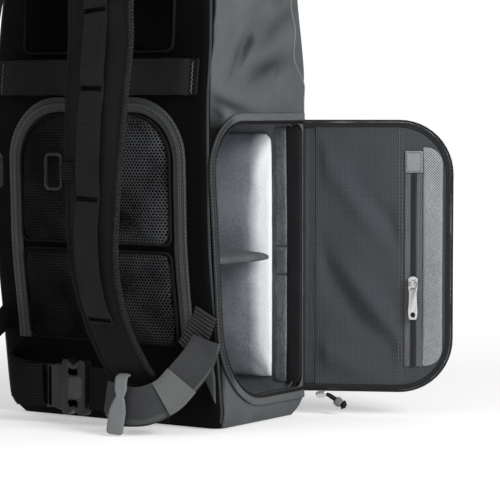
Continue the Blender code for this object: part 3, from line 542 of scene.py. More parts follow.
def paint_crease_shade(s, colour):
    """Paint shade into the creases on the side that the door opens."""
    x, y, z = s.split(s.coordinates.outputs["Object"])
    side = s.math("GREATER_THAN", x, HALF_WIDTH * CREASED_FROM)
    total = 0.0
    for place, up, length, spread, lean, dark in CREASES:
        u = s.minus(y, place)
        v = s.minus(z, up)
        c, d = cos(radians(lean)), sin(radians(lean))
        along = s.math("DIVIDE", s.scaled(u, c, s.times(v, d)), length)
        beside = s.math("DIVIDE", s.scaled(v, c, s.times(u, -d)), spread)
        far = s.math("ADD", s.times(along, along), s.times(beside, beside))
        near = s.math("EXPONENT", s.times(far, -1.0))
        total = s.math("MAXIMUM", s.times(near, dark), total)
    # Painted shade: each crease darkens the colour towards a near-black grey
    shade_and_mottle = s.times(s.times(total, side), 0.95)
    return s.mix(shade_and_mottle, colour, (0.016, 0.017, 0.018))


def woven(name, dark, light, pitch, flat=False, cross=1.0, mottled=0.35, depth=0.00025,
          fleck=0.0, rear=None, near=-0.0520):
    """Woven cloth: threads lighter than the gaps, mottled slowly, scuffed a little.
    Rear is the share of the colour left on the side that faces the wearer's back,
    and near the depth in the pack from which painted shade darkens the side towards it."""
    s = Shader(name, WOVEN_ROUGHNESS, specular=CLOTH_SHINE)
    u, v = s.flat() if flat else s.surface()
    threads = s.weave(u, v, pitch, cross)
    slow = s.noise(28.0, 3.0)
    fine = s.noise(900.0, 2.0)
    blend = s.scaled(s.minus(slow, 0.5), mottled, threads)
    blend = s.scaled(s.minus(fine, 0.5), 0.5 + fleck, blend, clamp=True)
    s.relief(threads, depth, 0.7)
    s.relief(s.noise(220.0, 3.0), 0.0004, 0.25)
    if rear and not flat:
        s.relief(s.noise(30.0, 3.0, stretch=(1.0, 1.0, 1.7)), 0.0060, 0.5)
    rough = s.scaled(slow, 0.16, WOVEN_ROUGHNESS - 0.08)
    colour = s.mix(blend, dark, light)
    if rear:
        y = s.split(s.coordinates.outputs["Normal"])[1]
        # Painted shade: a darker share of the colour on the side's strip towards its rear corner; faces
        # turned to the wearer's back take the same darker colour as their own
        shaded = s.mix(blend, tuple(c * rear for c in dark), tuple(c * rear for c in light))
        place = s.split(s.coordinates.outputs["Object"])
        strip = s.times(s.ramp(place[1], near, near - 0.0090), s.ramp(place[2], 0.292, 0.262))
        strip = s.times(strip, s.ramp(place[2], 0.022, 0.040))
        colour = s.mix(strip, colour, shaded)
        if not flat:
            colour = paint_crease_shade(s, colour)
        colour = s.mix(s.ramp(y, -0.22, -0.40), colour, shaded)
    return s.done(colour, rough)


def ribbed(name, dark, light, pitch, along=False, depth=0.0005):
    """Webbing with ribs across its run, or along it, over a fine weave."""
    s = Shader(name, 0.8, specular=CLOTH_SHINE)
    u, v = s.flat()
    ribs = s.scaled(s.wave(u if along else v, pitch), 0.5, 0.5)
    threads = s.weave(u, v, 0.0009, 1.4)
    slow = s.noise(40.0, 3.0)
    blend = s.scaled(threads, 0.35, s.times(ribs, 0.65))
    blend = s.scaled(s.minus(slow, 0.5), 0.5, blend, clamp=True)
    s.relief(ribs, depth, 0.8)
    s.relief(threads, depth * 0.4, 0.6)
    return s.done(s.mix(blend, dark, light))


def air_mesh(name, dark, light):
    """Spacer mesh with staggered holes over dark foam, with painted light and shade across the pad."""
    s = Shader(name, 0.8, specular=CLOTH_SHINE)
    u, v = s.surface()
    holes = s.holes(u, v, 0.0029, 0.00108, 0.0004)
    slow = s.scaled(s.noise(700.0, 2.0), 0.45, s.times(s.noise(26.0, 2.0), 0.75))
    threads = s.mix(s.ramp(slow, 0.40, 0.80), dark, light)
    s.relief(s.minus(1.0, holes), 0.0010, 1.0)
    x, y, z = s.split(s.coordinates.outputs["Object"])
    # Painted light and shade: the threads are lighter towards the pad's right side, where the lamp
    # falls, and darker towards its left side and lower part
    shade_and_mottle = s.times(s.scaled(s.ramp(x, -0.050, 0.070), 0.75, 0.25),
                  s.scaled(s.ramp(z, 0.060, 0.190), 0.55, 0.45))
    shaded = s.mix(shade_and_mottle, tuple(c * 0.15 for c in dark), threads)
    return s.done(s.mix(holes, shaded, tuple(c * 0.08 for c in dark)))


def ripstop():
    """Door lining: fine cloth with a raised grid of thicker threads."""
    s = Shader("ripstop_lining", 0.75, specular=CLOTH_SHINE)
    u, v = s.flat()
    grid = s.math("MAXIMUM", s.lines(u, 0.0021, 0.00042), s.lines(v, 0.0021, 0.00042))
    slow = s.noise(18.0, 3.0)
    base = s.mix(slow, (0.034, 0.0375, 0.042), (0.053, 0.058, 0.064))
    s.relief(grid, 0.00025, 0.7)
    s.relief(s.noise(60.0, 3.0), 0.0012, 0.3)
    colour = s.mix(s.times(grid, 0.75), base, (0.086, 0.092, 0.101))
    return s.done(colour, s.scaled(grid, -0.1, 0.78))


def brushed(name, dark, light, fuzz=0.0006, scale=520.0, edge=None, rim=None):
    """Brushed plush with a short soft pile. Edge is a paler colour towards the mouth, painted light
    where the bulging wall faces the lamp; rim a dark one on the cut edge of the mouth itself."""
    s = Shader(name, 0.95, sheen=0.06, specular=CLOTH_SHINE)
    slow = s.noise(34.0, 3.0)
    pile = s.noise(scale, 4.0, 0.65)
    blend = s.scaled(s.minus(pile, 0.5), 1.1, slow, clamp=True)
    s.relief(pile, fuzz, 0.8)
    s.relief(s.noise(120.0, 3.0), 0.0010, 0.3)
    colour = s.mix(blend, dark, light)
    x = s.split(s.coordinates.outputs["Object"])[0]
    if edge:
        # Painted light: the wall turns pale towards the mouth
        colour = s.mix(s.ramp(s.scaled(slow, 0.010, x), 0.0740, 0.0850), colour, edge)
    if rim:
        colour = s.mix(s.ramp(x, HALF_WIDTH - 0.0088, HALF_WIDTH - 0.0084), colour, rim)
    return s.done(colour)


def speckled_edge():
    """Grey spacer mesh at the straps' edges: pale flecks over dark holes."""
    s = Shader("speckled_mesh", 0.9, specular=CLOTH_SHINE)
    u, v = s.flat()
    holes = s.holes(u, v, 0.0016, 0.00055, 0.0004)
    flecks = s.ramp(s.noise(1600.0, 3.0), 0.44, 0.72)
    s.relief(s.minus(1.0, holes), 0.0007, 0.9)
    pale = s.mix(flecks, (0.008, 0.0083, 0.0088), (0.058, 0.060, 0.063))
    return s.done(s.mix(s.times(holes, 0.9), pale, (0.002, 0.002, 0.002)))


def moulded(name, colour, roughness, specular=0.45):
    """Moulded plastic: faint mottle and hairline wear in its roughness."""
    s = Shader(name, roughness, specular=specular)
    slow = s.noise(60.0, 3.0)
    grain = s.noise(1400.0, 2.0)
    s.relief(grain, 0.00012, 0.35)
    shade_and_mottle = tuple(min(c * 1.5 + 0.002, 1.0) for c in colour)
    rough = s.scaled(s.noise(160.0, 4.0), 0.24, roughness - 0.12)
    return s.done(s.mix(s.ramp(slow, 0.4, 0.8), colour, shade_and_mottle), rough)


def plated():
    """Plated metal with fine scratches along one way."""
    s = Shader("plated_metal", 0.24, metallic=1.0, specular=0.5)
    scratches = s.noise(300.0, 4.0, stretch=(1.0, 1.0, 6.0))
    s.relief(scratches, 0.00008, 0.3)
    colour = s.mix(s.noise(90.0, 3.0), (0.42, 0.42, 0.42), (0.68, 0.68, 0.69))
    return s.done(colour, s.scaled(scratches, 0.22, 0.15))


MATERIALS = {
    "shell": woven("shell_cloth", (0.036, 0.039, 0.042), (0.140, 0.147, 0.153), 0.0024, mottled=0.5,
                   depth=0.0004, rear=0.05),
    "shell_back": woven("rear_cloth", (0.005, 0.005, 0.0055), (0.018, 0.0185, 0.0195), 0.0024),
    "mesh": air_mesh("air_mesh", (0.0045, 0.0047, 0.0051), (0.084, 0.088, 0.094)),
    # Darker copy of the mesh: painted shade on the top pad under the straps, and the black of the
    # bar-tacks
    "dark_mesh": air_mesh("dark_mesh", (0.0010, 0.0010, 0.0011), (0.0040, 0.0041, 0.0044)),
    "web": ribbed("ribbed_webbing", (0.0070, 0.0071, 0.0075), (0.023, 0.0235, 0.0248), 0.0018),
    "belt": ribbed("belt_webbing", (0.0018, 0.0018, 0.0020), (0.0115, 0.0117, 0.0123), 0.0022,
                   along=True, depth=0.0003),
    "band": woven("band_cloth", (0.0060, 0.0060, 0.0064), (0.024, 0.0245, 0.026), 0.0022, flat=True),
    "strap": woven("strap_cloth", (0.0028, 0.0028, 0.0030), (0.0165, 0.0168, 0.0176), 0.0022, flat=True,
                   mottled=0.6),
    "edge_mesh": speckled_edge(),
    "tape": woven("zip_tape", (0.026, 0.027, 0.028), (0.092, 0.0945, 0.097), 0.0018, flat=True,
                  cross=1.6),
    "grey": woven("grey_tape", (0.095, 0.101, 0.103), (0.235, 0.247, 0.250), 0.0018, flat=True,
                  cross=1.5),
    "patch": woven("patch_tape", (0.160, 0.168, 0.170), (0.320, 0.333, 0.336), 0.0018, flat=True,
                   cross=1.5),
    "binding": woven("opening_tape", (0.030, 0.032, 0.033), (0.168, 0.175, 0.179), 0.0018, flat=True,
                     cross=1.5, rear=0.30, near=-0.0400),
    "shell_welt": woven("welt_cloth", (0.018, 0.019, 0.020), (0.070, 0.073, 0.076), 0.0020),
    # The insert's plush is darkened to paint the shade inside the compartment
    "insert_plush": brushed("insert_plush", (0.12, 0.13, 0.145), (0.26, 0.275, 0.30),
                            rim=(0.010, 0.010, 0.011)),
    "web_bold": ribbed("bold_webbing", (0.0060, 0.0060, 0.0064), (0.085, 0.087, 0.090), 0.0034,
                       depth=0.0008),
    "belt_lit": ribbed("spare_webbing", (0.030, 0.031, 0.032), (0.130, 0.134, 0.135), 0.0016,
                       along=True, depth=0.0002),
    "belt_face": woven("stack_webbing", (0.022, 0.0225, 0.0235), (0.066, 0.068, 0.071), 0.0014,
                       flat=True, mottled=0.6),
    "keeper": woven("keeper_elastic", (0.082, 0.0855, 0.0855), (0.152, 0.158, 0.157), 0.0012, flat=True,
                    mottled=0.5),
    "band_grey": woven("gusset_cloth", (0.026, 0.027, 0.028), (0.105, 0.109, 0.112), 0.0020),
    "pocket_tape": woven("pocket_tape", (0.050, 0.053, 0.055), (0.160, 0.167, 0.170), 0.0018, flat=True,
                         cross=1.5),
    "cord": ribbed("braided_cord", (0.006, 0.006, 0.006), (0.034, 0.034, 0.036), 0.0014),
    "dark_tape": woven("dark_tape", (0.008, 0.008, 0.0086), (0.040, 0.0415, 0.044), 0.0018, flat=True,
                       cross=1.5),
    "lining": ripstop(),
    "heather": woven("heather_cloth", (0.095, 0.104, 0.112), (0.350, 0.372, 0.390), 0.0024, flat=True,
                     fleck=0.9),
    # Pale plush: its darker base colour stands in for the shade inside the compartment, and its pale
    # edge is painted light
    "plush": brushed("pale_plush", (0.20, 0.22, 0.25), (0.44, 0.47, 0.51), edge=(0.84, 0.86, 0.88)),
    "grey_plush": brushed("grey_plush", (0.045, 0.049, 0.054), (0.130, 0.138, 0.148)),
    "dark_plush": brushed("dark_plush", (0.050, 0.054, 0.059), (0.250, 0.262, 0.275), 0.0009, 380.0),
    "plastic": moulded("moulded_plastic", (0.0040, 0.0040, 0.0043), 0.32, specular=0.32),
    "grey_plastic": moulded("grey_plastic", (0.026, 0.0268, 0.0275), 0.46, specular=0.3),
    "gloss": moulded("gloss_plastic", (0.002, 0.002, 0.002), 0.26, specular=0.25),
    "coil": moulded("zip_coil", (0.010, 0.010, 0.0105), 0.35),
    "thread": moulded("thread", (0.120, 0.125, 0.130), 0.8, specular=0.1),
    "dark_thread": moulded("dark_thread", (0.016, 0.0165, 0.0175), 0.8, specular=0.05),
    "metal": plated(),
}


# Making pieces
def piece(name, material, points, faces, uvs=None, body="pack", smooth=True, sharp=None):
    """One visible piece, riding on its body. UVs are given for each point, in metres."""
    mesh = bpy.data.meshes.new(name)
    mesh.from_pydata([tuple(point) for point in points], [], faces)
    if uvs is not None:
        layer = mesh.uv_layers.new(name="place")
        for loop in mesh.loops:
            layer.data[loop.index].uv = uvs[loop.vertex_index]
    work = bmesh.new()
    work.from_mesh(mesh)
    bmesh.ops.recalc_face_normals(work, faces=work.faces)
    work.to_mesh(mesh)
    work.free()
    if smooth:
        mesh.shade_smooth()
        if sharp:
            mesh.set_sharp_from_angle(angle=radians(sharp))
    return dress(bpy.data.objects.new(name, mesh), material, body)


def dress(made, material, body="pack"):
    made.data.materials.clear()
    made.data.materials.append(MATERIALS[material])
    if made.name not in bpy.context.scene.collection.objects:
        bpy.context.scene.collection.objects.link(made)
    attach(made, body)
    return made


def loft(name, material, rings, uvs=None, body="pack", sharp=None):
    """Rings of equal length joined into a closed skin with a cap at each end."""
    count = len(rings[0])
    points = [point for ring in rings for point in ring]
    faces = [list(range(count)), list(range(len(points) - count, len(points)))]
    faces += ring_faces(count, len(rings))
    return piece(name, material, points, faces, uvs, body, sharp=sharp)


def ring_faces(count, levels, closed=False):
    faces = []
    for level in range(levels if closed else levels - 1):
        low = level * count
        high = ((level + 1) % levels) * count
        for step in range(count):
            after = (step + 1) % count
            faces.append([low + step, low + after, high + after, high + step])
    return faces


def ripple(point, scale, amount, seed=0.0):
    """Soft uneven offset of a surface, the same on every run."""
    return amount * noise.noise(Vector(point) * scale + Vector((seed, seed * 0.7, seed * 1.3)))


def web_section(width, thick, rise=0.0, steps=10, edge=0.5):
    """Closed section of a strip: flat in the middle, thinner and round at its edges."""
    half = width / 2
    shares = [-1 + 2 * i / steps for i in range(steps + 1)]
    rows = [(s * half, thick / 2 * (1 - (1 - edge) * abs(s) ** 8)) for s in shares]
    return [(a, rise + b) for a, b in rows] + [(a, rise - b) for a, b in reversed(rows)]


def round_section(radius, half_count, rise=None):
    """Closed round section, or an oval one where a rise of its own is given."""
    angles = [step * pi / half_count for step in range(2 * half_count)]
    return [(radius * cos(angle), (rise or radius) * sin(angle)) for angle in angles]


def beside_path(points, normal):
    """Width directions of a strip that lies on a face with this normal."""
    found = []
    for i in range(len(points)):
        tangent = points[min(i + 1, len(points) - 1)] - points[max(i - 1, 0)]
        found.append(normal.cross(tangent).normalized())
    return found


def frames_along(path, across, closed=False):
    """Unit width and normal directions at each point of a path."""
    found = []
    count = len(path)
    for i in range(count):
        before = path[i - 1] if (i > 0 or closed) else path[i]
        following = path[(i + 1) % count] if (i < count - 1 or closed) else path[i]
        tangent = (following - before).normalized()
        width = across[i] - tangent * across[i].dot(tangent)
        width.normalize()
        found.append((width, tangent.cross(width), tangent))
    return found


def every(direction, path):
    """A direction for each point of a path, from one for all of them."""
    return [direction] * len(path) if isinstance(direction, Vector) else direction


def ribbon(name, material, path, across, section, closed=False, scales=None, uneven=0.0,
           sharp=50, seed=0.0, thin=None):
    """Carry a section along a path, with its width and run as UVs in metres."""
    scales = scales or [1.0] * len(path)
    thin = thin or [1.0] * len(path)
    across = every(across, path)
    points = []
    uvs = []
    run = 0.0
    for i, (width, normal, tangent) in enumerate(frames_along(path, across, closed)):
        if i:
            run += (path[i] - path[i - 1]).length
        for a, b in section:
            point = path[i] + width * a * scales[i] + normal * b * thin[i]
            if uneven:
                lift = normal * ripple(point, 90.0, uneven, seed)
                point = point + lift + width * ripple(point, 60.0, uneven, seed + 5)
            points.append(point)
            uvs.append((a * scales[i], run))
    size = len(section)
    if closed:
        return piece(name, material, points, ring_faces(size, len(path), True), uvs, sharp=sharp)
    rings = [points[i * size:(i + 1) * size] for i in range(len(path))]
    return loft(name, material, rings, uvs, sharp=sharp)


def boxes(name, material, rows, soft):
    """Many small blocks in one piece. Rows: centre, three half-size vectors."""
    points = []
    faces = []
    order = [(0, 1, 3, 2), (4, 6, 7, 5), (0, 4, 5, 1), (2, 3, 7, 6), (0, 2, 6, 4), (1, 5, 7, 3)]
    for centre, a, b, c in rows:
        start = len(points)
        for i in (-1, 1):
            for j in (-1, 1):
                for k in (-1, 1):
                    points.append(centre + a * i + b * j * (1 - soft if k > 0 else 1) + c * k)
        faces += [[start + n for n in face] for face in order]
    return piece(name, material, points, faces, smooth=False)


def resample(path, pitch):
    """Points every pitch along a path, with the tangent at each."""
    found = []
    carry = 0.0
    for first, second in zip(path, path[1:]):
        length = (second - first).length
        if length < 1e-9:
            continue
        direction = (second - first) / length
        at = carry
        while at < length:
            found.append((first + direction * at, direction))
            at += pitch
        carry = at - length
    return found


# Sewing threads. Columns: length and pitch of a stitch, width of the thread
THREADS = {
    "binding": (0.0019, 0.0031, 0.00045),
    "rim": (0.0018, 0.0030, 0.0004),
    "pocket": (0.0021, 0.0033, 0.0005),
    "seam": (0.0023, 0.0036, 0.0006),
    "patch": (0.0018, 0.0029, 0.00045),
    "zip": (0.0024, 0.0038, 0.0005),
    "band": (0.0020, 0.0032, 0.00045),
    "zigzag": (0.0030, 0.0019, 0.0006),
    "webbing": (0.0021, 0.0034, 0.00045),
    "channel": (0.0023, 0.0037, 0.0005),
}
THREAD_HALF = 0.00025


def stitches(name, path, normals, thread, rise, material="thread", zigzag=0.0):
    """A row of short threads that lie on a surface along a path."""
    length, pitch, width = THREADS[thread]
    rows = []
    pairs = resample(path, pitch)
    total = max(len(pairs) - 1, 1)
    for i, (place, tangent) in enumerate(pairs):
        normal = normals[min(int(i / total * (len(normals) - 1)), len(normals) - 1)]
        side = tangent.cross(normal).normalized()
        along = tangent
        if zigzag:
            along = (tangent + side * zigzag * (1 if i % 2 else -1)).normalized()
        over = along.cross(normal).normalized()
        rows.append((place + normal * rise, along * length / 2, over * width / 2, normal * THREAD_HALF))
    return boxes(name, material, rows, soft=0.4)


def dome(name, material, outline, place, height, crowns, relief=None, base=0.0, both=False):
    """A crowned pad: rings of an outline, shrunk to its middle, over a flat back, or one
    with the same relief. Columns of crowns: share of the outline, share of the height."""
    middle = (sum(u for u, v in outline) / len(outline), sum(v for u, v in outline) / len(outline))
    points = []
    uvs = []
    levels = [(share, base) for share, rise in crowns]
    levels += [(share, rise * height) for share, rise in reversed(crowns)]
    for index, (share, rise) in enumerate(levels):
        for u, v in outline:
            a = middle[0] + (u - middle[0]) * share
            b = middle[1] + (v - middle[1]) * share
            lift = relief(a, b) if relief and (index >= len(crowns) or both) else 0.0
            points.append(place(a, b, rise + lift))
            uvs.append((a, b))
    count = len(outline)
    faces = ring_faces(count, len(levels))
    for level in (0, len(levels) - 1):
        share, rise = levels[level]
        centre = len(points)
        lift = relief(*middle) if relief and (level or both) else 0.0
        points.append(place(*middle, rise + lift))
        uvs.append(middle)
        start = level * count
        for step in range(count):
            faces.append([centre, start + step, start + (step + 1) % count])
    return piece(name, material, points, faces, uvs, sharp=60)


def mirrored(rows):
    """Half an outline and its mirror image in the second column."""
    return rows + [(a, -b) for a, b in reversed(rows)]


def even_steps(outline, pitch, closed=True):
    """An outline with points at an even pitch."""
    points = []
    for first, second in zip(outline, outline[1:] + outline[:1] * closed):
        length = ((second[0] - first[0]) ** 2 + (second[1] - first[1]) ** 2) ** 0.5
        parts = max(1, round(length / pitch))
        for step in range(parts):
            t = step / parts
            points.append((first[0] + (second[0] - first[0]) * t,
                           first[1] + (second[1] - first[1]) * t))
    return points if closed else points + [outline[-1]]


def boolean(made, operand, operation="DIFFERENCE"):
    """Cut or join now, and drop the operand."""
    modifier = made.modifiers.new("cut", "BOOLEAN")
    modifier.operation = operation
    modifier.solver = "EXACT"
    modifier.object = operand
    settle(made)
    bpy.data.objects.remove(operand, do_unlink=True)


def settle(made):
    """Keep what the modifiers make of a mesh, and drop the modifiers."""
    bpy.context.view_layer.update()
    graph = bpy.context.evaluated_depsgraph_get()
    mesh = bpy.data.meshes.new_from_object(made.evaluated_get(graph))
    made.modifiers.clear()
    old = made.data
    made.data = mesh
    if old.users == 0:
        bpy.data.meshes.remove(old)


def rounded(made, width, segments=2):
    """Round a hard piece's edges and keep its flats flat."""
    modifier = made.modifiers.new("edges", "BEVEL")
    modifier.width = width
    modifier.segments = segments
    modifier.limit_method = "ANGLE"
    modifier.angle_limit = radians(35)
    modifier.harden_normals = False
    settle(made)
    made.data.shade_smooth()
    made.data.set_sharp_from_angle(angle=radians(40))


# Frames that a pad is blown up for
FILL_FRAMES = 20


def stuffed(name, node, material, reshape, cap, pinned, voxel=0.005, pressure=4.0):
    """A padded piece blown up from a slightly smaller copy of its solid by cloth
    simulation. Pinned tells which points stay where the pad is sewn or backed."""
    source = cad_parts[node]
    mesh = source.data.copy()
    made = bpy.data.objects.new(name, mesh)
    bpy.context.scene.collection.objects.link(made)
    for vertex in mesh.vertices:
        vertex.co = reshape(vertex.co)
    work = bmesh.new()
    work.from_mesh(mesh)
    bmesh.ops.remove_doubles(work, verts=work.verts, dist=1e-6)
    work.to_mesh(mesh)
    work.free()
    remesh = made.modifiers.new("even", "REMESH")
    remesh.mode = "VOXEL"
    remesh.voxel_size = voxel
    settle(made)
    start = np.array([vertex.co[:] for vertex in made.data.vertices])
    group = made.vertex_groups.new(name="held")
    held = [i for i, point in enumerate(start) if pinned(Vector(point))]
    group.add(held, 1.0, "REPLACE")
    cloth = made.modifiers.new("fill", "CLOTH")
    cloth.settings.vertex_group_mass = "held"
    cloth.settings.use_pressure = True
    cloth.settings.uniform_pressure_force = pressure
    cloth.settings.effector_weights.gravity = 0.0
    cloth.settings.quality = 5
    cloth.settings.tension_stiffness = 12
    cloth.settings.compression_stiffness = 12
    cloth.settings.bending_stiffness = 0.4
    cloth.collision_settings.use_self_collision = False
    cloth.point_cache.frame_start = 1
    cloth.point_cache.frame_end = FILL_FRAMES
    scene = bpy.context.scene
    for step in range(1, FILL_FRAMES + 1):
        scene.frame_set(step)
    graph = bpy.context.evaluated_depsgraph_get()
    blown = made.evaluated_get(graph).to_mesh()
    after = np.array([vertex.co[:] for vertex in blown.vertices])
    made.evaluated_get(graph).to_mesh_clear()
    made.modifiers.clear()
    move = after - start
    length = np.linalg.norm(move, axis=1)
    share = np.where(length > cap, cap / np.maximum(length, 1e-9), 1.0)
    place = start + move * share[:, None]
    for vertex, point in zip(made.data.vertices, place):
        vertex.co = point
    scene.frame_set(1)
    made.vertex_groups.clear()
    smooth = made.modifiers.new("relax", "SMOOTH")
    smooth.factor = 0.5
    smooth.iterations = 2
    finer = made.modifiers.new("finer", "SUBSURF")
    finer.levels = 1
    finer.render_levels = 1
    settle(made)
    made.data.shade_smooth()
    dress(made, material)
    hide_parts(node)
    return made


# Crowns of thin pads. Columns: share of the outline, share of the height
STRIP_CROWN = [(0.15, 1.0), (0.5, 1.0), (0.8, 0.95), (0.93, 0.85), (1.0, 0.5)]
HINGE_CROWN = [(0.05, 1.0), (0.3, 1.0), (0.6, 1.0), (0.85, 0.98), (0.95, 0.9), (1.0, 0.6)]
POCKET_CROWN = [(0.03, 1.0), (0.2, 1.0), (0.4, 1.0), (0.6, 0.98), (0.75, 0.94), (0.88, 0.82),
                (0.95, 0.66), (1.0, 0.35)]
PATCH_CROWN = [(0.1, 1.0), (0.5, 1.0), (0.85, 0.95), (0.95, 0.8), (1.0, 0.5)]
GUSSET_CROWN = [(0.06, 1.0), (0.3, 1.0), (0.6, 1.0), (0.8, 0.96), (0.92, 0.85), (1.0, 0.6)]

# Body: shell, padded insert and what lines the side opening
SIDE_STEPS = 30
CORNER_STEPS = 7
# Pitch of the points along a trim's path
PATH_PITCH = 0.005
# Wrinkles of the upper side panel. Columns: place across and up, length, spread, lean, depth
WRINKLES = [
    (-0.042, 0.2810, 0.034, 0.0050, -14.0, -0.0046),
    (-0.060, 0.2740, 0.014, 0.0035, -30.0, -0.0026),
    (0.010, 0.308, 0.034, 0.0085, 20.0, -0.0050),
    (0.030, 0.290, 0.040, 0.0080, 8.0, 0.0022),
    (-0.034, 0.322, 0.028, 0.0060, 52.0, -0.0034),
    (0.044, 0.336, 0.034, 0.0070, 62.0, 0.0034),
    (-0.010, 0.362, 0.050, 0.0085, 12.0, -0.0036),
    (0.015, 0.400, 0.044, 0.0085, -20.0, 0.0032),
]


def smoothstep(value, low, high):
    t = min(max((value - low) / (high - low), 0.0), 1.0)
    return t * t * (3 - 2 * t)


def level_ring(z, inset, relief, side_steps=SIDE_STEPS, corner_steps=CORNER_STEPS):
    """One level section of the body, drawn in by an inset, as a rounded rectangle."""
    half = body_half_width(z) - inset
    back = body_back(z) + inset
    front = body_front(z) - inset
    back_corner = max(HALF_DEPTH * eased(SECTIONS, 4, z / HEIGHT) - inset, CLOTH)
    front_corner = max(HALF_DEPTH * eased(SECTIONS, 5, z / HEIGHT) - inset, CLOTH)
    corners = [
        (half - front_corner, front - front_corner, front_corner, 0),
        (-half + front_corner, front - front_corner, front_corner, 90),
        (-half + back_corner, back + back_corner, back_corner, 180),
        (half - back_corner, back + back_corner, back_corner, 270),
    ]
    points = []
    for index, (x, y, radius, start) in enumerate(corners):
        for step in range(corner_steps + 1):
            angle = radians(start + 90 * step / corner_steps)
            points.append(Vector((x + radius * cos(angle), y + radius * sin(angle), z)))
        last = points[-1]
        x2, y2, radius2, start2 = corners[(index + 1) % 4]
        angle2 = radians(start2)
        following = Vector((x2 + radius2 * cos(angle2), y2 + radius2 * sin(angle2), z))
        for step in range(1, side_steps):
            points.append(last.lerp(following, step / side_steps))
    for point in points:
        if abs(point.y - back) > GAP and abs(point.y - front) > GAP:
            face = "right" if point.x > 0 else "left"
            point.x += np.sign(point.x) * fold_offset(face, point.y, z)
            if relief:
                point.x += np.sign(point.x) * relief(face, point.y, z)
        elif relief:
            face = "back" if point.y < 0 else "front"
            point.y += np.sign(point.y) * relief(face, point.x, z)
    return points


def skin_relief(face, across, z):
    """Small wrinkles of the pack cloth, none where other pieces lie on it."""
    edge = 1.0 - smoothstep(abs(across), 0.062, 0.074) if face in ("right", "left") else 1.0
    slow = ripple((across, z * 1.0, len(face)), 16.0, 0.0022)
    quick = ripple((across, z, len(face) + 3.0), 55.0, 0.0006)
    if face == "right":
        high = smoothstep(z, 0.272, 0.284)
        bulge = 0.0028 * (1.0 - (across / 0.074) ** 2)
        return max(edge * high * (bulge + folds_at(WRINKLES, across, z) + quick + slow * 0.4),
                   -CLOTH * 0.72)
    if face == "left":
        return edge * smoothstep(z, 0.01, 0.05) * (slow + quick)
    if face == "back":
        return -abs(quick) * 0.3 * smoothstep(z, 0.02, 0.05)
    return quick * smoothstep(z, 0.40, 0.43) * 0.8


def skin_levels(low, high, count):
    """Heights of the level rings, closer together towards both ends."""
    levels = []
    for level in range(count + 1):
        t = level / count
        levels.append(low + (high - low) * (t - 0.35 * sin(2 * pi * t) / (2 * pi)))
    return levels


def opening_prism():
    """What the side opening takes out of the shell and the insert."""
    outline = opening_outline(0.0, 12)
    inner = HALF_WIDTH - CLOTH - INSERT_WALL * 3
    rings = [[Vector((x, y, z)) for y, z in outline] for x in (inner, HALF_WIDTH + CLOTH)]
    made = loft("opening_prism", "shell", rings)
    made.data.shade_flat()
    return made


def body_shell():
    outer = [level_ring(z, 0.0, skin_relief) for z in skin_levels(0.0, HEIGHT, 130)]
    shell = loft("pack_body", "shell", outer, sharp=50)
    inner = [level_ring(z, CLOTH, None, 8, 4) for z in skin_levels(CLOTH, HEIGHT - CLOTH, 40)]
    boolean(shell, loft("hollow_form", "shell", inner))
    boolean(shell, opening_prism())
    shell.data.shade_smooth()
    shell.data.set_sharp_from_angle(angle=radians(38))
    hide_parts("body_shell")


def insert_relief(face, across, z):
    return -abs(ripple((across, z, len(face) + 9.0), 22.0, 0.0016))


def padded_insert():
    outside = CLOTH + INSERT_GAP
    inside = outside + INSERT_WALL
    outer = [level_ring(z, outside, None, 8, 4) for z in skin_levels(outside, INSERT_HIGH, 24)]
    box = loft("camera_insert", "insert_plush", outer, sharp=50)
    inner = [level_ring(z, inside, insert_relief, 22,
                        5) for z in skin_levels(inside, INSERT_HIGH - INSERT_WALL, 60)]
    boolean(box, loft("insert_form", "insert_plush", inner))
    boolean(box, opening_prism())
    box.data.shade_smooth()
    box.data.set_sharp_from_angle(angle=radians(45))
    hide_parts("padded_insert")


def insert_front(z):
    return body_front(z) - CLOTH - INSERT_GAP - INSERT_WALL - GAP


def compartment():
    """Pale bulging wall, the fuzzy strip at its edge and the divider."""

    def slimmer(p):
        face = insert_front(p.z) - SEAT
        return Vector((0.032 + (p.x - 0.032) * 0.985, face + (p.y - face) * 0.72,
                       0.146 + (p.z - 0.146) * 0.99))
    stuffed("plush_panel", "plush_wall", "plush", slimmer, 0.0052,
            lambda p: p.y > insert_front(p.z) - SEAT - 0.0018, voxel=0.0042, pressure=5.0)
    inside = CLOTH + INSERT_GAP + INSERT_WALL
    reach = HALF_WIDTH - inside - BINDING_WIDTH
    left = reach * 0.88 + GAP * 2
    low = OPENING_LOW + GAP * 10
    high = OPENING_HIGH - GAP * 10
    # Three lengths of the strip with a break between them
    breaks = [low, 0.128, 0.154, high]

    def place(u, z, rise):
        return Vector((u, insert_front(z) - SEAT - rise, z))

    for index, (start, end) in enumerate(zip(breaks, breaks[1:])):
        outline = even_steps(rounded_outline((left, start + 0.0006), (reach, end - 0.0006),
                                             even_corners(0.0015), 3), 0.0012)
        made = dome(f"fuzzy_strip_{index}", "dark_plush", outline, place, CLOTH,
                    STRIP_CROWN, relief=lambda u, z: ripple((u, z, 1.0), 420.0, 0.0004))
        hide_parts("hook_strip")

    def thinner(p):
        return Vector((0.032 + (p.x - 0.032) * 0.99, p.y,
                       DIVIDER_HEIGHT + (p.z - DIVIDER_HEIGHT) * 0.8))
    lo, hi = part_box("level_divider")
    stuffed("shelf_divider", "level_divider", "grey_plush", thinner, 0.0022,
            lambda p: p.y < lo.y + 0.002 or p.y > hi.y - 0.002, voxel=0.0034, pressure=3.0)


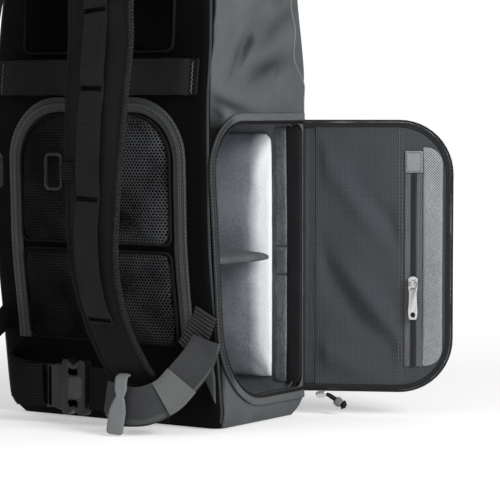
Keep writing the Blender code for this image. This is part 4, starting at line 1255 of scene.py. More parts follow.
def outline_ribbon(name, material, grow, width, thick, steps=14):
    """A strip round the opening's top, rear and lower edge, standing on the side panel."""
    outline = opening_outline(grow + width / 2, steps)
    first, last = steps, 3 * steps + 3
    ends = [[(OPENING_REACH, outline[at][1])] for at in (first, last)]
    path = ends[0] + outline[first + 1:last] + ends[1]
    points = [Vector((HALF_WIDTH + SEAT, y, z)) for y, z in even_steps(path, PATH_PITCH, closed=False)]
    across = beside_path(points, Vector((1, 0, 0)))
    section = web_section(width, thick, thick / 2, 8, 0.25)
    return points, across, ribbon(name, material, points, across, section, uneven=0.00022)


def teeth(name, path, across, normal, pitch=0.00155, size=(0.0021, 0.00075, 0.0010), replaces=None,
          offset=0.0):
    """Coil teeth: a short rounded bar across the zip at every pitch."""
    rows = []
    across = every(across, path)
    for place, tangent in resample(path, pitch):
        near = min(range(len(path)), key=lambda i: (path[i] - place).length_squared)
        width = (across[near] - tangent * across[near].dot(tangent)).normalized()
        rows.append((place + normal * (size[2] / 2 + offset), width * size[0] / 2,
                     tangent * size[1] / 2, normal * size[2] / 2))
    made = boxes(name, "coil", rows, soft=0.35)
    if replaces:
        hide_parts(replaces)


def opening_trim():
    points, across, made = outline_ribbon("side_binding", "binding", ZIP_WIDTH + GAP,
                                          BINDING_WIDTH, BINDING_THICK)
    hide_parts("opening_binding")
    out = Vector((1, 0, 0))
    for label, shift in (("outer", 0.0023), ("inner", -0.0022)):
        row = [p + a * shift for p, a in zip(points, across)]
        stitches(f"binding_thread_{label}", row, [out], "binding", BINDING_THICK * 0.98)
    points, across, made = outline_ribbon("side_zip_tape", "dark_tape", 0.0, ZIP_WIDTH,
                                          0.0009)
    teeth("side_zip_teeth", points, across, out, size=(0.0019, 0.00075, 0.0010), replaces="opening_zip",
          offset=0.0010)
    front_edge()


def front_edge():
    """Dark binding along the compartment's front edge, and the welt above the door."""
    x = HALF_WIDTH - 0.0012
    heights = np.linspace(OPENING_LOW + 0.003, OPENING_HIGH - 0.003, 60)
    path = [Vector((x, OPENING_REACH + 0.0022, z)) for z in heights]
    across = [Vector((0.4, 1, 0)).normalized()] * len(path)
    ribbon("front_edge_binding", "dark_tape", path, across,
           web_section(0.0068, 0.0028, 0.0, 8, 0.3), uneven=0.0003)
    inner = HALF_WIDTH - CLOTH - INSERT_GAP - INSERT_WALL - BINDING_WIDTH + 0.0006
    middle = (inner + HALF_WIDTH - 0.0015) / 2
    heights = np.linspace(OPENING_LOW + 0.002, OPENING_HIGH - 0.002, 60)
    path = [Vector((middle, insert_front(z) - SEAT - 0.0009, z)) for z in heights]
    section = web_section(HALF_WIDTH - 0.0015 - inner, 0.0012, 0.0, 8, 0.5)
    ribbon("front_lining", "dark_tape", path, Vector((1, 0, 0)), section, uneven=0.0003)
    welt = []
    for z in np.linspace(OPENING_HIGH + 0.006, HEIGHT * 0.93, 70):
        y = min(0.0715 - 0.020 * smoothstep(z, 0.298, 0.325), body_front(z) - 0.006)
        face = body_half_width(z) + fold_offset("right", y, z)
        welt.append(Vector((face + 0.0002 + skin_relief("right", y, z), y, z)))
    across = [Vector((0, 1, 0))] * len(welt)
    section = round_section(0.0008, 4)
    ribbon("side_welt", "grey", welt, across, section, uneven=0.0001)


def corner_welts():
    """Rolled seams down the rear corners."""
    for label, side in (("right", 1), ("left", -1)):
        path = []
        for z in np.linspace(0.006, HEIGHT * 0.955, 110):
            radius = HALF_DEPTH * eased(SECTIONS, 4, z / HEIGHT)
            x = body_half_width(z) - radius
            y = body_back(z) + radius
            reach = radius + 0.0002
            path.append(Vector((side * (x + reach * cos(radians(-38))), y + reach * sin(radians(-38)),
                                z)))
        across = [Vector((side * 0.7, 0.7, 0))] * len(path)
        section = round_section(0.0013, 4, 0.0012)
        ribbon(f"corner_welt_{label}", "shell_welt", path, across, section,
               uneven=0.00012)


# Side door and its pocket
# Soft folds of the door's lining. Columns: along and up the door, length, spread, lean, depth
DOOR_FOLDS = [
    (0.038, 0.210, 0.060, 0.011, -52.0, 0.0050),
    (0.062, 0.190, 0.055, 0.010, -46.0, -0.0046),
    (0.030, 0.120, 0.065, 0.012, -60.0, -0.0050),
    (0.058, 0.105, 0.055, 0.011, -50.0, 0.0052),
    (0.075, 0.070, 0.040, 0.010, -40.0, -0.0040),
    (0.030, 0.052, 0.040, 0.011, -25.0, 0.0044),
]


def door_relief(u, z):
    edge = min(u - HINGE_STEP, HINGE_STEP + DOOR_WIDTH - u, z - DOOR_LOW, DOOR_HIGH - z)
    beyond = smoothstep(u, POCKET_SEAM - 0.014, POCKET_SEAM - 0.002)
    inside = smoothstep(edge, 0.0, 0.012) * (1.0 - beyond)
    return (folds_at(DOOR_FOLDS, u, z) + ripple((u, z, 2.0), 30.0, 0.0009)) * inside


def door():
    outline = even_steps(door_outline(0.0016, 10), 0.003)
    crowns = [(0.02, 1.0)] + [(s, 1.0) for s in np.linspace(0.08, 0.96, 38)] + [(1.0, 0.85)]
    half = DOOR_THICK / 2
    lining = dome("thin_door_lining", "lining", outline, lambda u, v,
                  r: door_point(u, v, r - half), half, crowns, relief=door_relief, both=True)
    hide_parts("door_panel")
    outer = dome("thin_door_outside", "shell", outline,
                 lambda u, v, r: door_point(u, v, -half - GAP - r), half, crowns,
                 relief=lambda u, v: -door_relief(u, v) * 0.8, both=True)
    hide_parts("door_panel")
    door_edges()
    hinge_cloth()
    door_pocket()


def door_path(grow, steps=12):
    """Outline of the door from its hinge round the free edge and back."""
    outline = door_outline(grow, steps)
    top = outline[0:steps + 1]
    low = outline[3 * steps + 3:4 * steps + 4]
    start = (-0.003, DOOR_HIGH + grow)
    end = (-0.003, DOOR_LOW - grow)
    corners = [start] + list(reversed(top)) + list(reversed(low)) + [end]
    return even_steps(corners, PATH_PITCH, closed=False)


def door_edges():
    inner = door_point(0, 0, 1) - door_point(0, 0, 0)
    flat = door_path(GAP + DOOR_BINDING / 2)
    points = [door_point(u, v, -DOOR_THICK / 2) for u, v in flat]
    across = beside_path(points, inner)
    section = web_section(DOOR_BINDING + 0.0006, DOOR_THICK * 1.4, 0.0, 10, 0.18)
    made = ribbon("door_rim", "dark_tape", points, across, section, uneven=0.0002)
    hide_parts("door_binding")
    row = [p + a * 0.0006 for p, a in zip(points, across)]
    stitches("door_rim_thread", row, [inner], "rim", DOOR_THICK * 0.74, material="dark_thread")
    flat = door_path(GAP * 2 + DOOR_BINDING + COIL_WIDTH / 2)
    points = [door_point(u, v, -DOOR_THICK / 2) for u, v in flat]
    ribbon("door_zip_tape", "dark_tape", points, across,
           web_section(COIL_WIDTH * 0.9, 0.0009, 0.0, 6, 0.5))
    teeth("door_zip_teeth", points, across, inner, pitch=0.0016, size=(COIL_WIDTH, 0.0008, 0.0019),
          replaces="door_zip", offset=-0.00095)


def hinge_cloth():
    """Cloth that carries the door, with a soft crease along the pack's edge."""
    low = DOOR_LOW - 0.0015
    high = DOOR_HIGH + 0.0015
    outline = even_steps([(-0.0045, low), (HINGE_STEP + 0.001, low), (HINGE_STEP + 0.001, high),
                          (-0.0045, high)], 0.0024)
    made = dome("door_hinge_cloth", "lining", outline,
                lambda u, v, r: door_point(u, v, r - DOOR_THICK), CLOTH, HINGE_CROWN,
                relief=lambda u, v: ripple((u, v, 4.0), 70.0,
                                           0.0005) - 0.0006 * np.exp(-((u - 0.004) / 0.0015) ** 2))
    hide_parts("door_hinge")


def door_pocket():
    left = POCKET_SEAM
    right = POCKET_SEAM + TAPE_WIDTH
    middle = (left + right) / 2
    inner = door_point(0, 0, 1) - door_point(0, 0, 0)
    along = door_point(1, 0, 0) - door_point(0, 0, 0)
    heights = np.linspace(TAPE_LOW, TAPE_HIGH, 70)
    for label, start, end in (("inner", left, middle - POCKET_COIL / 2 - 0.0003),
                              ("outer", middle + POCKET_COIL / 2 + 0.0003, right)):
        path = [door_point((start + end) / 2, z, GAP + TAPE_THICK / 2) for z in heights]
        made = ribbon(f"pocket_tape_{label}", "pocket_tape", path, along,
                      web_section(end - start, TAPE_THICK, 0.0, 8, 0.5), uneven=0.0002)
        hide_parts("pocket_tape")
        seam = start + 0.0016 if label == "inner" else end - 0.0016
        row = [door_point(seam, z, GAP + TAPE_THICK) for z in heights]
        stitches(f"pocket_thread_{label}", row, [inner], "pocket", 0.0001)
    for label, place in (("near", left - 0.0022), ("far", left - 0.0052)):
        reach = np.linspace(DOOR_LOW + 0.006, DOOR_HIGH - 0.004, 60)
        row = [door_point(place, z, door_relief(place, z)) for z in reach]
        stitches(f"door_seam_{label}", row, [inner], "seam", 0.0001)
    path = [door_point(middle, z, GAP + TAPE_THICK / 2) for z in heights]
    ribbon("pocket_coil_bed", "coil", path, along,
           web_section(POCKET_COIL, TAPE_THICK, 0.0, 8, 0.5))
    path = [door_point(middle, z, GAP * 2 + TAPE_THICK) for z in heights]
    teeth("pocket_coil_teeth", path, along, inner, pitch=0.00165,
          size=(POCKET_COIL * 0.86, 0.0009, 0.0011), replaces="pocket_coil")
    outer = HINGE_STEP + DOOR_WIDTH - GAP * 8
    radius = (outer - right) * POCKET_ROUND
    panel = rounded_outline((right + GAP, DOOR_LOW + POCKET_INSET), (outer, DOOR_HIGH - POCKET_INSET),
                            [(1, 1, radius), (-1, 1, GAP * 3), (-1, -1, GAP * 3), (1, -1, radius)], 8)
    made = dome("pocket_cloth", "heather", even_steps(panel, 0.003),
                door_point, POCKET_THICK + 0.0004, POCKET_CROWN, base=GAP,
                relief=lambda u, v: ripple((u, v, 7.0), 55.0, 0.0011))
    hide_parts("pocket_panel")
    low = TAPE_HIGH + GAP * 2
    patch = rounded_outline((left, low), (right, low + TAPE_WIDTH * 1.25), even_corners(0.0008), 3)
    made = dome("pocket_patch_cloth", "patch", even_steps(patch, 0.0016),
                door_point, TAPE_THICK * 1.8, PATCH_CROWN,
                base=GAP, relief=lambda u, v: ripple((u, v, 9.0), 140.0, 0.0004))
    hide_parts("pocket_patch")
    a, b, c, d = left + 0.0014, right - 0.0014, low + 0.0014, low + TAPE_WIDTH * 1.25 - 0.0014
    square = [(a, c), (b, c), (b, d), (a, d), (a, c)]
    stitches("pocket_patch_thread", [door_point(u, v, GAP + TAPE_THICK * 1.8) for u, v in square],
             [inner], "patch", 0.0001)
    pocket_slider(middle, GAP + TAPE_THICK + GAP + TAPE_THICK * 1.2 + GAP)


def door_slab(name, material, outline, base, thickness, body="pack"):
    rings = [[door_point(u, v, height) for u, v in outline] for height in (base, base + thickness)]
    return loft(name, material, rings, body=body)


def door_block(name, u, v, rise):
    outline = [(u[0], v[0]), (u[1], v[0]), (u[1], v[1]), (u[0], v[1])]
    return door_slab(name, "metal", outline, rise[0], rise[1] - rise[0])


def pocket_slider(middle, base):
    """Slider with a waisted body and a bridge, and the flat pull that hangs from it."""
    top = base + SLIDER_THICK
    tunnel = PULL_THICK + PULL_CLEAR * 2
    leg = SLIDER_THICK * 0.5
    bridge_half = SLIDER_WIDTH * 0.15
    centre = SLIDER_HEIGHT
    half = SLIDER_WIDTH / 2
    long = SLIDER_LENGTH / 2
    outline = [(-0.72, -1.0), (0.72, -1.0), (0.86, -0.55), (0.78, -0.1), (1.0, 0.35), (0.95, 0.75),
               (0.35, 1.0), (-0.35, 1.0), (-0.95, 0.75), (-1.0, 0.35), (-0.78, -0.1), (-0.86, -0.55)]
    outline = [(middle + a * half, centre + b * long) for a, b in outline]
    slider = door_slab("zip_slider_body", "metal", outline, base, SLIDER_THICK)
    arch_range = (centre - tunnel / 2 - leg, centre + tunnel / 2 + leg)
    bridge = door_block("bridge_form", (middle - bridge_half, middle + bridge_half), arch_range,
                        (top - leg / 2, top + tunnel + leg))
    boolean(slider, bridge, "UNION")
    hole = door_block("bridge_cutter", (middle - half * 2, middle + half * 2),
                      (centre - tunnel / 2, centre + tunnel / 2), (top, top + tunnel))
    boolean(slider, hole)
    rounded(slider, 0.00035, 2)
    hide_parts("pocket_slider")
    axis_rise = top + tunnel / 2
    plate = (axis_rise - PULL_THICK / 2, axis_rise + PULL_THICK / 2)
    half = PULL_WIDTH / 2
    low = centre - PULL_LENGTH
    high = centre + PULL_THICK / 2
    outline = [(-0.72, 0.0), (0.72, 0.0), (0.9, 0.09), (1.0, 0.2), (0.86, 0.5), (0.80, 0.72),
               (1.0, 0.86), (1.0, 1.0),
               (-1.0, 1.0), (-1.0, 0.86), (-0.80, 0.72), (-0.86, 0.5), (-1.0, 0.2), (-0.9, 0.09)]
    outline = [(middle + a * half, low + b * (high - low)) for a, b in outline]
    pull = door_slab("zip_pull_tab", "metal", outline, plate[0], PULL_THICK, body="pull")
    window = bridge_half + PULL_CLEAR
    through = (plate[0] - PULL_THICK, plate[1] + PULL_THICK)
    boolean(pull, door_block("window_cutter", (middle - window, middle + window),
                             (arch_range[0] - PULL_CLEAR * 4, centre - PULL_THICK / 2), through))
    eye = [(middle + 0.0021 * cos(a * pi / 8),
            low + 0.0046 + 0.0021 * sin(a * pi / 8)) for a in range(16)]
    boolean(pull, door_slab("eye_cutter", "metal", eye, through[0], through[1] - through[0]))
    rounded(pull, 0.00035, 2)
    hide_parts("pocket_pull")


# Radius of the pull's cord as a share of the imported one
CORD_SHARE = 0.92


def main_zip_pull():
    """The side zip's slider below the door, with its knotted cord and a grey sleeve."""
    edge = DOOR_LOW - GAP * 3 - DOOR_BINDING - COIL_WIDTH
    start = HINGE_STEP + GAP
    base = -DOOR_THICK
    length = SLIDER_LENGTH * 0.8
    deep = SLIDER_WIDTH * 0.7
    outline = [(0.0, -0.75), (0.25, -1.0), (0.8, -1.0), (1.0, -0.7), (1.0, -0.3), (0.8, 0.0),
               (0.25, 0.0), (0.0, -0.25)]
    outline = [(start + a * length, edge + b * deep) for a, b in outline]
    slider = door_slab("main_slider", "metal", outline, base, DOOR_THICK)
    rounded(slider, 0.0005, 2)
    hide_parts("zip_slider")
    # Columns: share of the pull's length, drop, half height of the cord's section
    rows = [(0.0, 0.0, 0.8), (0.12, -0.02, 0.9), (0.30, -0.12, 1.0), (0.42, -0.19, 1.0),
            (0.50, -0.25, 1.5), (0.62, -0.34, 1.6),
            (0.72, -0.41, 1.4), (0.76, -0.43, 1.1), (0.82, -0.45, 1.9), (0.88, -0.47, 2.0),
            (0.93, -0.49, 1.4), (1.0, -0.52, 0.9)]
    path = []
    sizes = []
    for share, drop, size in smooth_rows(rows, 5):
        u = start + length + GAP + share * PULL_LENGTH * 0.55
        path.append(door_point(u, edge - SLIDER_WIDTH * 0.35 + drop * SLIDER_LENGTH * 1.7,
                               base + DOOR_THICK / 2))
        sizes.append(max(size, 0.4))
    section = round_section(CORD * CORD_SHARE, 5)
    made = ribbon("cord_pull", "cord", path, Vector((0, 0, 1)), section, scales=sizes,
                  thin=[s * 0.8 for s in sizes], uneven=0.00035)
    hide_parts("zip_cord_pull")
    sleeve = path[18:32]
    section = round_section(CORD * CORD_SHARE, 6)
    ribbon("cord_sleeve", "grey", sleeve, Vector((0, 0, 1)), section,
           scales=[s + 0.35 for s in sizes[18:32]], thin=[s * 0.8 + 0.3 for s in sizes[18:32]])


# Rear panel
def pad_shape(low_share, thin):
    """Start shape of a rear pad: a little smaller than its solid, and lower towards its sides."""
    def reshape(p):
        back = body_back(p.z) - SEAT
        rise = thin * (1.0 - 0.42 * min(abs(p.x) / PAD_HALF_WIDTH, 1.0) ** 4)
        return Vector((p.x * low_share, back + (p.y - back) * rise, p.z))
    return reshape


def rear_panel():
    for node, cap in (("upper_mesh_pad", 0.0042), ("lower_mesh_pad", 0.0042), ("top_mesh_pad", 0.0038)):
        # The top pad, in the straps' shade, takes the darker copy of the mesh as painted shade
        cloth = "dark_mesh" if node == "top_mesh_pad" else "mesh"
        made = stuffed(node.replace("_pad", "_panel"), node, cloth,
                       pad_shape(0.992, 0.92), cap,
                       lambda p: p.y > body_back(p.z) - SEAT - 0.0022, voxel=0.0046, pressure=4.0)
    # Rolled edges of the pads
    small = PAD_HALF_WIDTH * 0.1
    corner = PAD_HALF_WIDTH * 0.5
    upper = [(1, 1, corner), (-1, 1, corner), (-1, -1, small), (1, -1, small)]
    for label, low, high, corners in (("upper", PAD_CREASE + CREASE_GAP / 2, PAD_HIGH, upper),
                                      ("lower", PAD_LOW, PAD_CREASE - CREASE_GAP / 2,
                                       even_corners(small)),
                                      ("top", TOP_PAD_LOW, TOP_PAD_HIGH, even_corners(small))):
        edge = even_steps(rounded_outline((-PAD_HALF_WIDTH + 0.0016, low + 0.0016),
                                          (PAD_HALF_WIDTH - 0.0016, high - 0.0016),
                                          [(a, b, max(r - 0.0016, 0.002)) for a, b, r in corners], 10),
                                          0.005)
        path = [on_back(u, v, 0.0030) for u, v in edge]
        section = round_section(0.0015, 5)
        ribbon(f"{label}_pad_piping", "strap", path, Vector((0, 1, 0)), section,
               closed=True, uneven=0.00015)
    rear_zip(corner)
    luggage_band()


def arch_path(side, top, radius, low):
    """Up one side of the mesh pads, over them and down the other."""
    path = [(side, z) for z in np.linspace(low, top - radius, 44)]
    for step in range(1, 19):
        angle = pi / 2 * step / 18
        path.append((side - radius + radius * cos(angle), top - radius + radius * sin(angle)))
    path += [(u, top) for u in np.linspace(side - radius, 0.0, 8)[1:]]
    return path + [(-u, v) for u, v in reversed(path[:-1])]


def rear_zip(pad_corner):
    """Grey zip tape over the mesh pads: a flat tape, a raised middle and two rows of stitches."""
    side = PAD_HALF_WIDTH + GAP + TRACK_WIDTH / 2
    top = PAD_HIGH + GAP + TRACK_WIDTH / 2
    radius = pad_corner + TRACK_WIDTH / 2
    flat = arch_path(side, top, radius, PAD_LOW)
    points = [on_back(u, v, TRACK_THICK / 2) for u, v in flat]
    across = beside_path(points, Vector((0, -1, 0)))
    made = ribbon("rear_zip_tape", "tape", points, across,
                  web_section(TRACK_WIDTH - GAP * 2, TRACK_THICK, 0.0, 14, 0.3), uneven=0.00025)
    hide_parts("rear_zip")
    ridge = [p + Vector((0, -TRACK_THICK / 2, 0)) for p in points]
    ribbon("rear_zip_ridge", "tape", ridge, across,
           web_section(0.0044, 0.0016, 0.0, 8, 0.2), uneven=0.00015)
    out = [Vector((0, -1, 0))]
    for label, shift in (("outer", -0.0056), ("middle", 0.0)):
        rise = TRACK_THICK / 2 + (0.0008 if shift == 0.0 else 0.0)
        row = [p + a * shift for p, a in zip(points, across)]
        stitches(f"rear_zip_thread_{label}", row, out, "zip", rise)


def luggage_band():
    """Wide band across the back, sewn at its ends and standing off between them."""
    rows = [(1.0, 0.0), (0.93, 0.0), (0.84, 1.0), (0.5, 1.5), (0.0, 1.7), (-0.5, 1.5), (-0.84, 1.0),
            (-0.93, 0.0), (-1.0, 0.0)]
    width = body_half_width(BAND_LOW) - HALF_DEPTH * 0.12
    middle = (BAND_LOW + BAND_HIGH) / 2
    stand = BAND_THICK * 2.5
    upright = Vector((0, body_back(BAND_HIGH) - body_back(BAND_LOW), BAND_HIGH - BAND_LOW)).normalized()
    seat = body_back(middle)
    path = []
    for x, out in smooth_rows(rows, 12):
        path.append(Vector((x * width, seat - SEAT * 2 - BAND_THICK / 2 - out * stand, middle)))
    section = web_section(BAND_HIGH - BAND_LOW, BAND_THICK, 0.0, 22, 0.35)
    made = ribbon("trolley_band", "band", path, upright, section, uneven=0.0007,
                  seed=3.0)
    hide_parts("luggage_band")
    out = [Vector((0, -1, 0))]
    high = (BAND_HIGH - BAND_LOW) / 2 - 0.0026
    for label, shift in (("upper", high), ("lower", -high)):
        row = [p + upright * shift for p in path]
        stitches(f"band_thread_{label}", row, out, "band", BAND_THICK / 2 + 0.0004,
                 material="dark_thread")
    for side in (1, -1):
        x = side * width * 0.955
        row = [Vector((x, seat - SEAT * 2, middle)) + upright * s for s in np.linspace(-high, high, 8)]
        stitches(f"band_zigzag_{'right' if side > 0 else 'left'}", row, out, "zigzag",
                 BAND_THICK + 0.0003, zigzag=0.75)


# Shoulder straps
STRAP_STEPS = 10
# Bar-tacks down the ribbed webbing, as rows of the strap's route
BAR_TACKS = [5.35, 6.75, 8.3, 10.85]
# How far the webbing stands up between its bar-tacks
WEB_PUFF = 0.0022


def strap_section():
    """Padded strap: a full middle, a sewn channel near each edge and a rolled edge."""
    half = STRAP_WIDTH / 2
    rows = [(-1.0, 0.05), (-0.985, 0.30), (-0.94, 0.40), (-0.885, 0.36), (-0.84, 0.27), (-0.79, 0.40),
            (-0.70, 0.56), (-0.55, 0.74), (-0.36, 0.88), (-0.15, 0.97), (0.0, 1.0)]
    rows = rows + [(-s, t) for s, t in reversed(rows[:-1])]
    upper = [(s * half, t * STRAP_THICK / 2) for s, t in rows]
    return upper + [(s, -t) for s, t in reversed(upper)]


def shoulder_straps():
    for label, side in (("right", 1), ("left", -1)):
        route = STRAP_ROUTE
        if side < 0:
            route = [(row[0] + row[6], *row[1:]) for row in STRAP_ROUTE[:-1]]
        path, across = harness_path(route, STRAP_REACH, STRAP_STEPS, side)
        scales = [row[5] for row in smooth_rows(route, STRAP_STEPS)]
        made = ribbon(f"shoulder_pad_{label}", "strap", path, across, strap_section(),
                      scales=scales, uneven=0.0007, seed=side * 2.0, sharp=80)
        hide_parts(f"strap_pad_{label}")
        frames = frames_along(path, across)
        # A roll on each edge: speckled mesh outside, strap cloth inside
        for edge, sign, cloth in (("outer", 1, "edge_mesh"), ("inner", -1, "strap")):
            first = 2 * STRAP_STEPS
            last = len(path) - 3
            roll = [path[i] + frames[i][0] * sign * scales[i] * STRAP_WIDTH / 2 * 0.94
                    for i in range(first, last)]
            section = round_section(0.0027, 7)
            ribbon(f"strap_roll_{edge}_{label}", cloth, roll, across[first:last],
                   section, uneven=0.00035)
        strap_webbing(label, side, path, across, scales)
        strap_ring(label, side, path[8 * STRAP_STEPS], scales[8 * STRAP_STEPS])


def strap_webbing(label, side, path, across, scales):
    start = 5 * STRAP_STEPS
    end = 11 * STRAP_STEPS
    rise = side * (STRAP_THICK / 2 + SEAT + WEB_THICK / 2)
    frames = frames_along(path, across)
    run = []
    for i in range(start, end):
        away = min(abs(i / STRAP_STEPS - row) for row in BAR_TACKS)
        run.append(path[i] + frames[i][1] * side * WEB_PUFF * smoothstep(away, 0.05, 0.45))
    width = across[start:end]
    made = ribbon(f"strap_daisy_{label}", "web", run, width,
                  web_section(RIB_WIDTH, WEB_THICK, rise, 12, 0.6), uneven=0.00025)
    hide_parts(f"strap_webbing_{label}")
    for index, row in enumerate(BAR_TACKS):
        at = int(row * STRAP_STEPS)
        w, n, t = frames[at]
        top = path[at] + n * side * (STRAP_THICK / 2 + SEAT + WEB_THICK)
        rows = []
        for k in range(15):
            s = (k / 14 - 0.5) * RIB_WIDTH * 0.86
            rows.append((top + w * s + n * side * 0.0002, w * 0.0004, t * 0.0024, n * side * 0.0004))
        boxes(f"bar_tack_{label}_{index}", "dark_mesh", rows, soft=0.3)
    for name, shift in (("a", 0.40), ("b", -0.40)):
        row = [p + f[0] * RIB_WIDTH * shift for p, f in zip(run, frames[start:end])]
        normals = [f[1] * side for f in frames[start:end]]
        stitches(f"daisy_thread_{name}_{label}", row, normals, "webbing",
                 STRAP_THICK / 2 + SEAT + WEB_THICK, material="dark_thread")
    for name, shift in (("outer", 0.84), ("inner", -0.84)):
        first = 2 * STRAP_STEPS
        last = len(path) - 2 * STRAP_STEPS
        row = [path[i] + frames[i][0] * shift * scales[i] * STRAP_WIDTH / 2 for i in range(first, last)]
        normals = [f[1] * side for f in frames[first:last]]
        stitches(f"strap_channel_{name}_{label}", row, normals, "channel",
                 STRAP_THICK / 2 * 0.30, material="dark_thread")


def strap_ring(label, side, centre, scale):
    """Moulded ring at the strap's inner edge, and the webbing tab that holds it."""
    edge = centre.x - side * scale * STRAP_WIDTH / 2
    front = centre.y - STRAP_THICK * 0.35
    overlap = RING_WIRE * 0.25
    middle = Vector((edge - side * (RING_WIDTH / 2 + overlap), front, centre.z + RING_HEIGHT * 0.2))
    half_u = (RING_WIDTH - RING_WIRE) / 2
    half_v = (RING_HEIGHT - RING_WIRE) / 2
    outline = even_steps(rounded_outline((-half_u, -half_v), (half_u, half_v),
                                         even_corners(RING_WIRE * 1.2), 8), 0.0022)
    path = [middle + Vector((u, 0, v)) for u, v in outline]
    half = RING_WIRE / 2 * 0.84
    section = []
    for a in range(12):
        c = cos(a * pi / 6)
        s = sin(a * pi / 6)
        section.append((half * np.sign(c) * abs(c) ** 0.6, half * np.sign(s) * abs(s) ** 0.6))
    made = ribbon(f"rectangle_ring_{label}", "gloss", path, Vector((0, 1, 0)), section,
                  closed=True)
    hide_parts(f"strap_ring_{label}")
    start = edge - side * (overlap - GAP)
    end = centre.x - side * (RIB_WIDTH / 2 + GAP)
    rise = centre.y - STRAP_THICK / 2 - GAP - WEB_THICK / 2
    path = [Vector((start + (end - start) * t, rise - 0.0004 * sin(pi * t),
                    middle.z)) for t in np.linspace(0, 1, 10)]
    made = ribbon(f"ring_loop_{label}", "belt", path, Vector((0, 0, 1)),
                  web_section(half_v * 1.1, WEB_THICK, 0.0, 10, 0.5), uneven=0.0002)
    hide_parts(f"ring_tab_{label}")


# Hip belt
BELT_STEPS = 12
# Rows of the grey pull that lie behind the strap's end
PULL_HIDDEN = 9


def webbing(name, node, rows, width, thick, material="belt", uneven=0.0003, edge=0.5, seed=0.0):
    path, across = harness_path(rows, BELT_REACH, BELT_STEPS)
    made = ribbon(name, material, path, across,
                  web_section(width, thick, 0.0, 16, edge), uneven=uneven, seed=seed)
    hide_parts(node)
    return path


def hip_belt():
    left = webbing("waist_webbing_left", "belt_webbing_left", BELT_LEFT, BELT_WIDTH, WEB_THICK)
    right = webbing("waist_webbing_right", "belt_webbing_right", BELT_RIGHT, BELT_WIDTH, WEB_THICK)
    buckle(left[-1], right[0])
    webbing("waist_fold", "belt_fold", BELT_FOLD, BELT_WIDTH, STACK_THICK, uneven=0.0006, edge=0.25,
            seed=2.0)
    belt_stack()
    webbing("hanging_ribbed_end", "ribbed_tail", RIBBED_TAIL, TAIL_WIDTH, WEB_THICK,
            material="web_bold", uneven=0.0004)
    path, across = harness_path(GREY_PULL, BELT_REACH, BELT_STEPS)
    path = path[PULL_HIDDEN:]
    across = across[PULL_HIDDEN:]
    # Widths down the pull: a lobe, a notch and a longer lower part
    widths = []
    for i in range(len(path)):
        t = i / (len(path) - 1)
        notch = 0.26 * np.exp(-((t - 0.44) / 0.05) ** 2)
        widths.append(0.80 - notch + 0.26 * smoothstep(t, 0.5, 0.66) - 0.22 * smoothstep(t, 0.93, 1.0))
    made = ribbon("folded_grey_pull", "grey", path, across,
                  web_section(GREY_WIDTH * 0.9, WEB_THICK * 1.6, 0.0, 12, 0.2),
                  scales=widths, uneven=0.0007, seed=4.0)
    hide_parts("grey_pull")
    webbing("strap_tether", "strap_tether_left", LEFT_TETHER, TAIL_WIDTH, WEB_THICK, uneven=0.0004)
    corner_gusset()


# Share of its width that the looser spare belt shows, drawn together by its keeper
LOOP_SHARE = 0.76


def belt_stack():
    """The spare belt, doubled into four layers, in its woven elastic keeper."""
    path, across = harness_path(BELT_STACK, BELT_REACH, BELT_STEPS)
    layers = 4
    thick = STACK_THICK / layers * 0.82
    frames = frames_along(path, across)
    for layer in range(layers):
        rise = -STACK_THICK / 2 + STACK_THICK * (layer + 0.5) / layers
        fan = []
        narrow = []
        for i, (width, normal, tangent) in enumerate(frames):
            t = i / (len(frames) - 1)
            fan.append(path[i] + width * (layer - 1.5) * 0.0030 * (1 - t))
            narrow.append(LOOP_SHARE * (1.0 - 0.10 * smoothstep(t, 0.75, 1.0)))
        cloth = "belt_face" if layer in (0, layers - 1) else "belt_lit"
        made = ribbon(f"spare_belt_layer_{layer}", cloth, fan, across,
                      web_section(BELT_WIDTH * (1 - 0.012 * layer), thick, rise, 16, 0.5),
                      scales=narrow, uneven=0.00045, seed=layer * 1.7)
        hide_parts("belt_stack")
    first = 11 * 3
    last = 16 * 3
    wall = WEB_THICK * 0.7
    inner_width = BELT_WIDTH * LOOP_SHARE + GAP * 2
    inner_thick = STACK_THICK + GAP * 2
    run = path[first:last]
    turn = across[first:last]
    outer = web_section(inner_width + wall * 2, inner_thick + wall * 2, 0.0, 16, 0.55)
    sleeve = ribbon("elastic_keeper", "keeper", run, turn, outer)
    longer = [run[0] + (run[0] - run[1])] + run[1:-1] + [run[-1] + (run[-1] - run[-2])]
    boolean(sleeve, ribbon("keeper_form", "keeper", longer, turn,
                           web_section(inner_width, inner_thick, 0.0, 16, 0.55)))
    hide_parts("belt_keeper")
    for label, shift in (("upper", 0.44), ("lower", -0.44)):
        row = [p + f[0] * BELT_WIDTH * LOOP_SHARE * shift for p, f in zip(run, frames[first:last])]
        normals = [f[1] for f in frames[first:last]]
        for way, sign in (("out", 1), ("in", -1)):
            stitches(f"keeper_thread_{label}_{way}", row, [n * sign for n in normals], "patch",
                     inner_thick / 2 + wall)


def corner_gusset():
    """Cloth triangle at the pack's lower corner, behind the belt's end."""
    shares = [(0.865, 0.110), (0.965, 0.052), (0.975, 0.100), (0.955, 0.142)]
    outline = even_steps([(x * HALF_WIDTH, z * HEIGHT) for x, z in shares], 0.002)
    made = dome("belt_corner_gusset", "band_grey", outline, on_back, CLOTH,
                GUSSET_CROWN, relief=lambda u, v: ripple((u, v, 6.0), 120.0, 0.0005))
    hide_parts("corner_gusset")


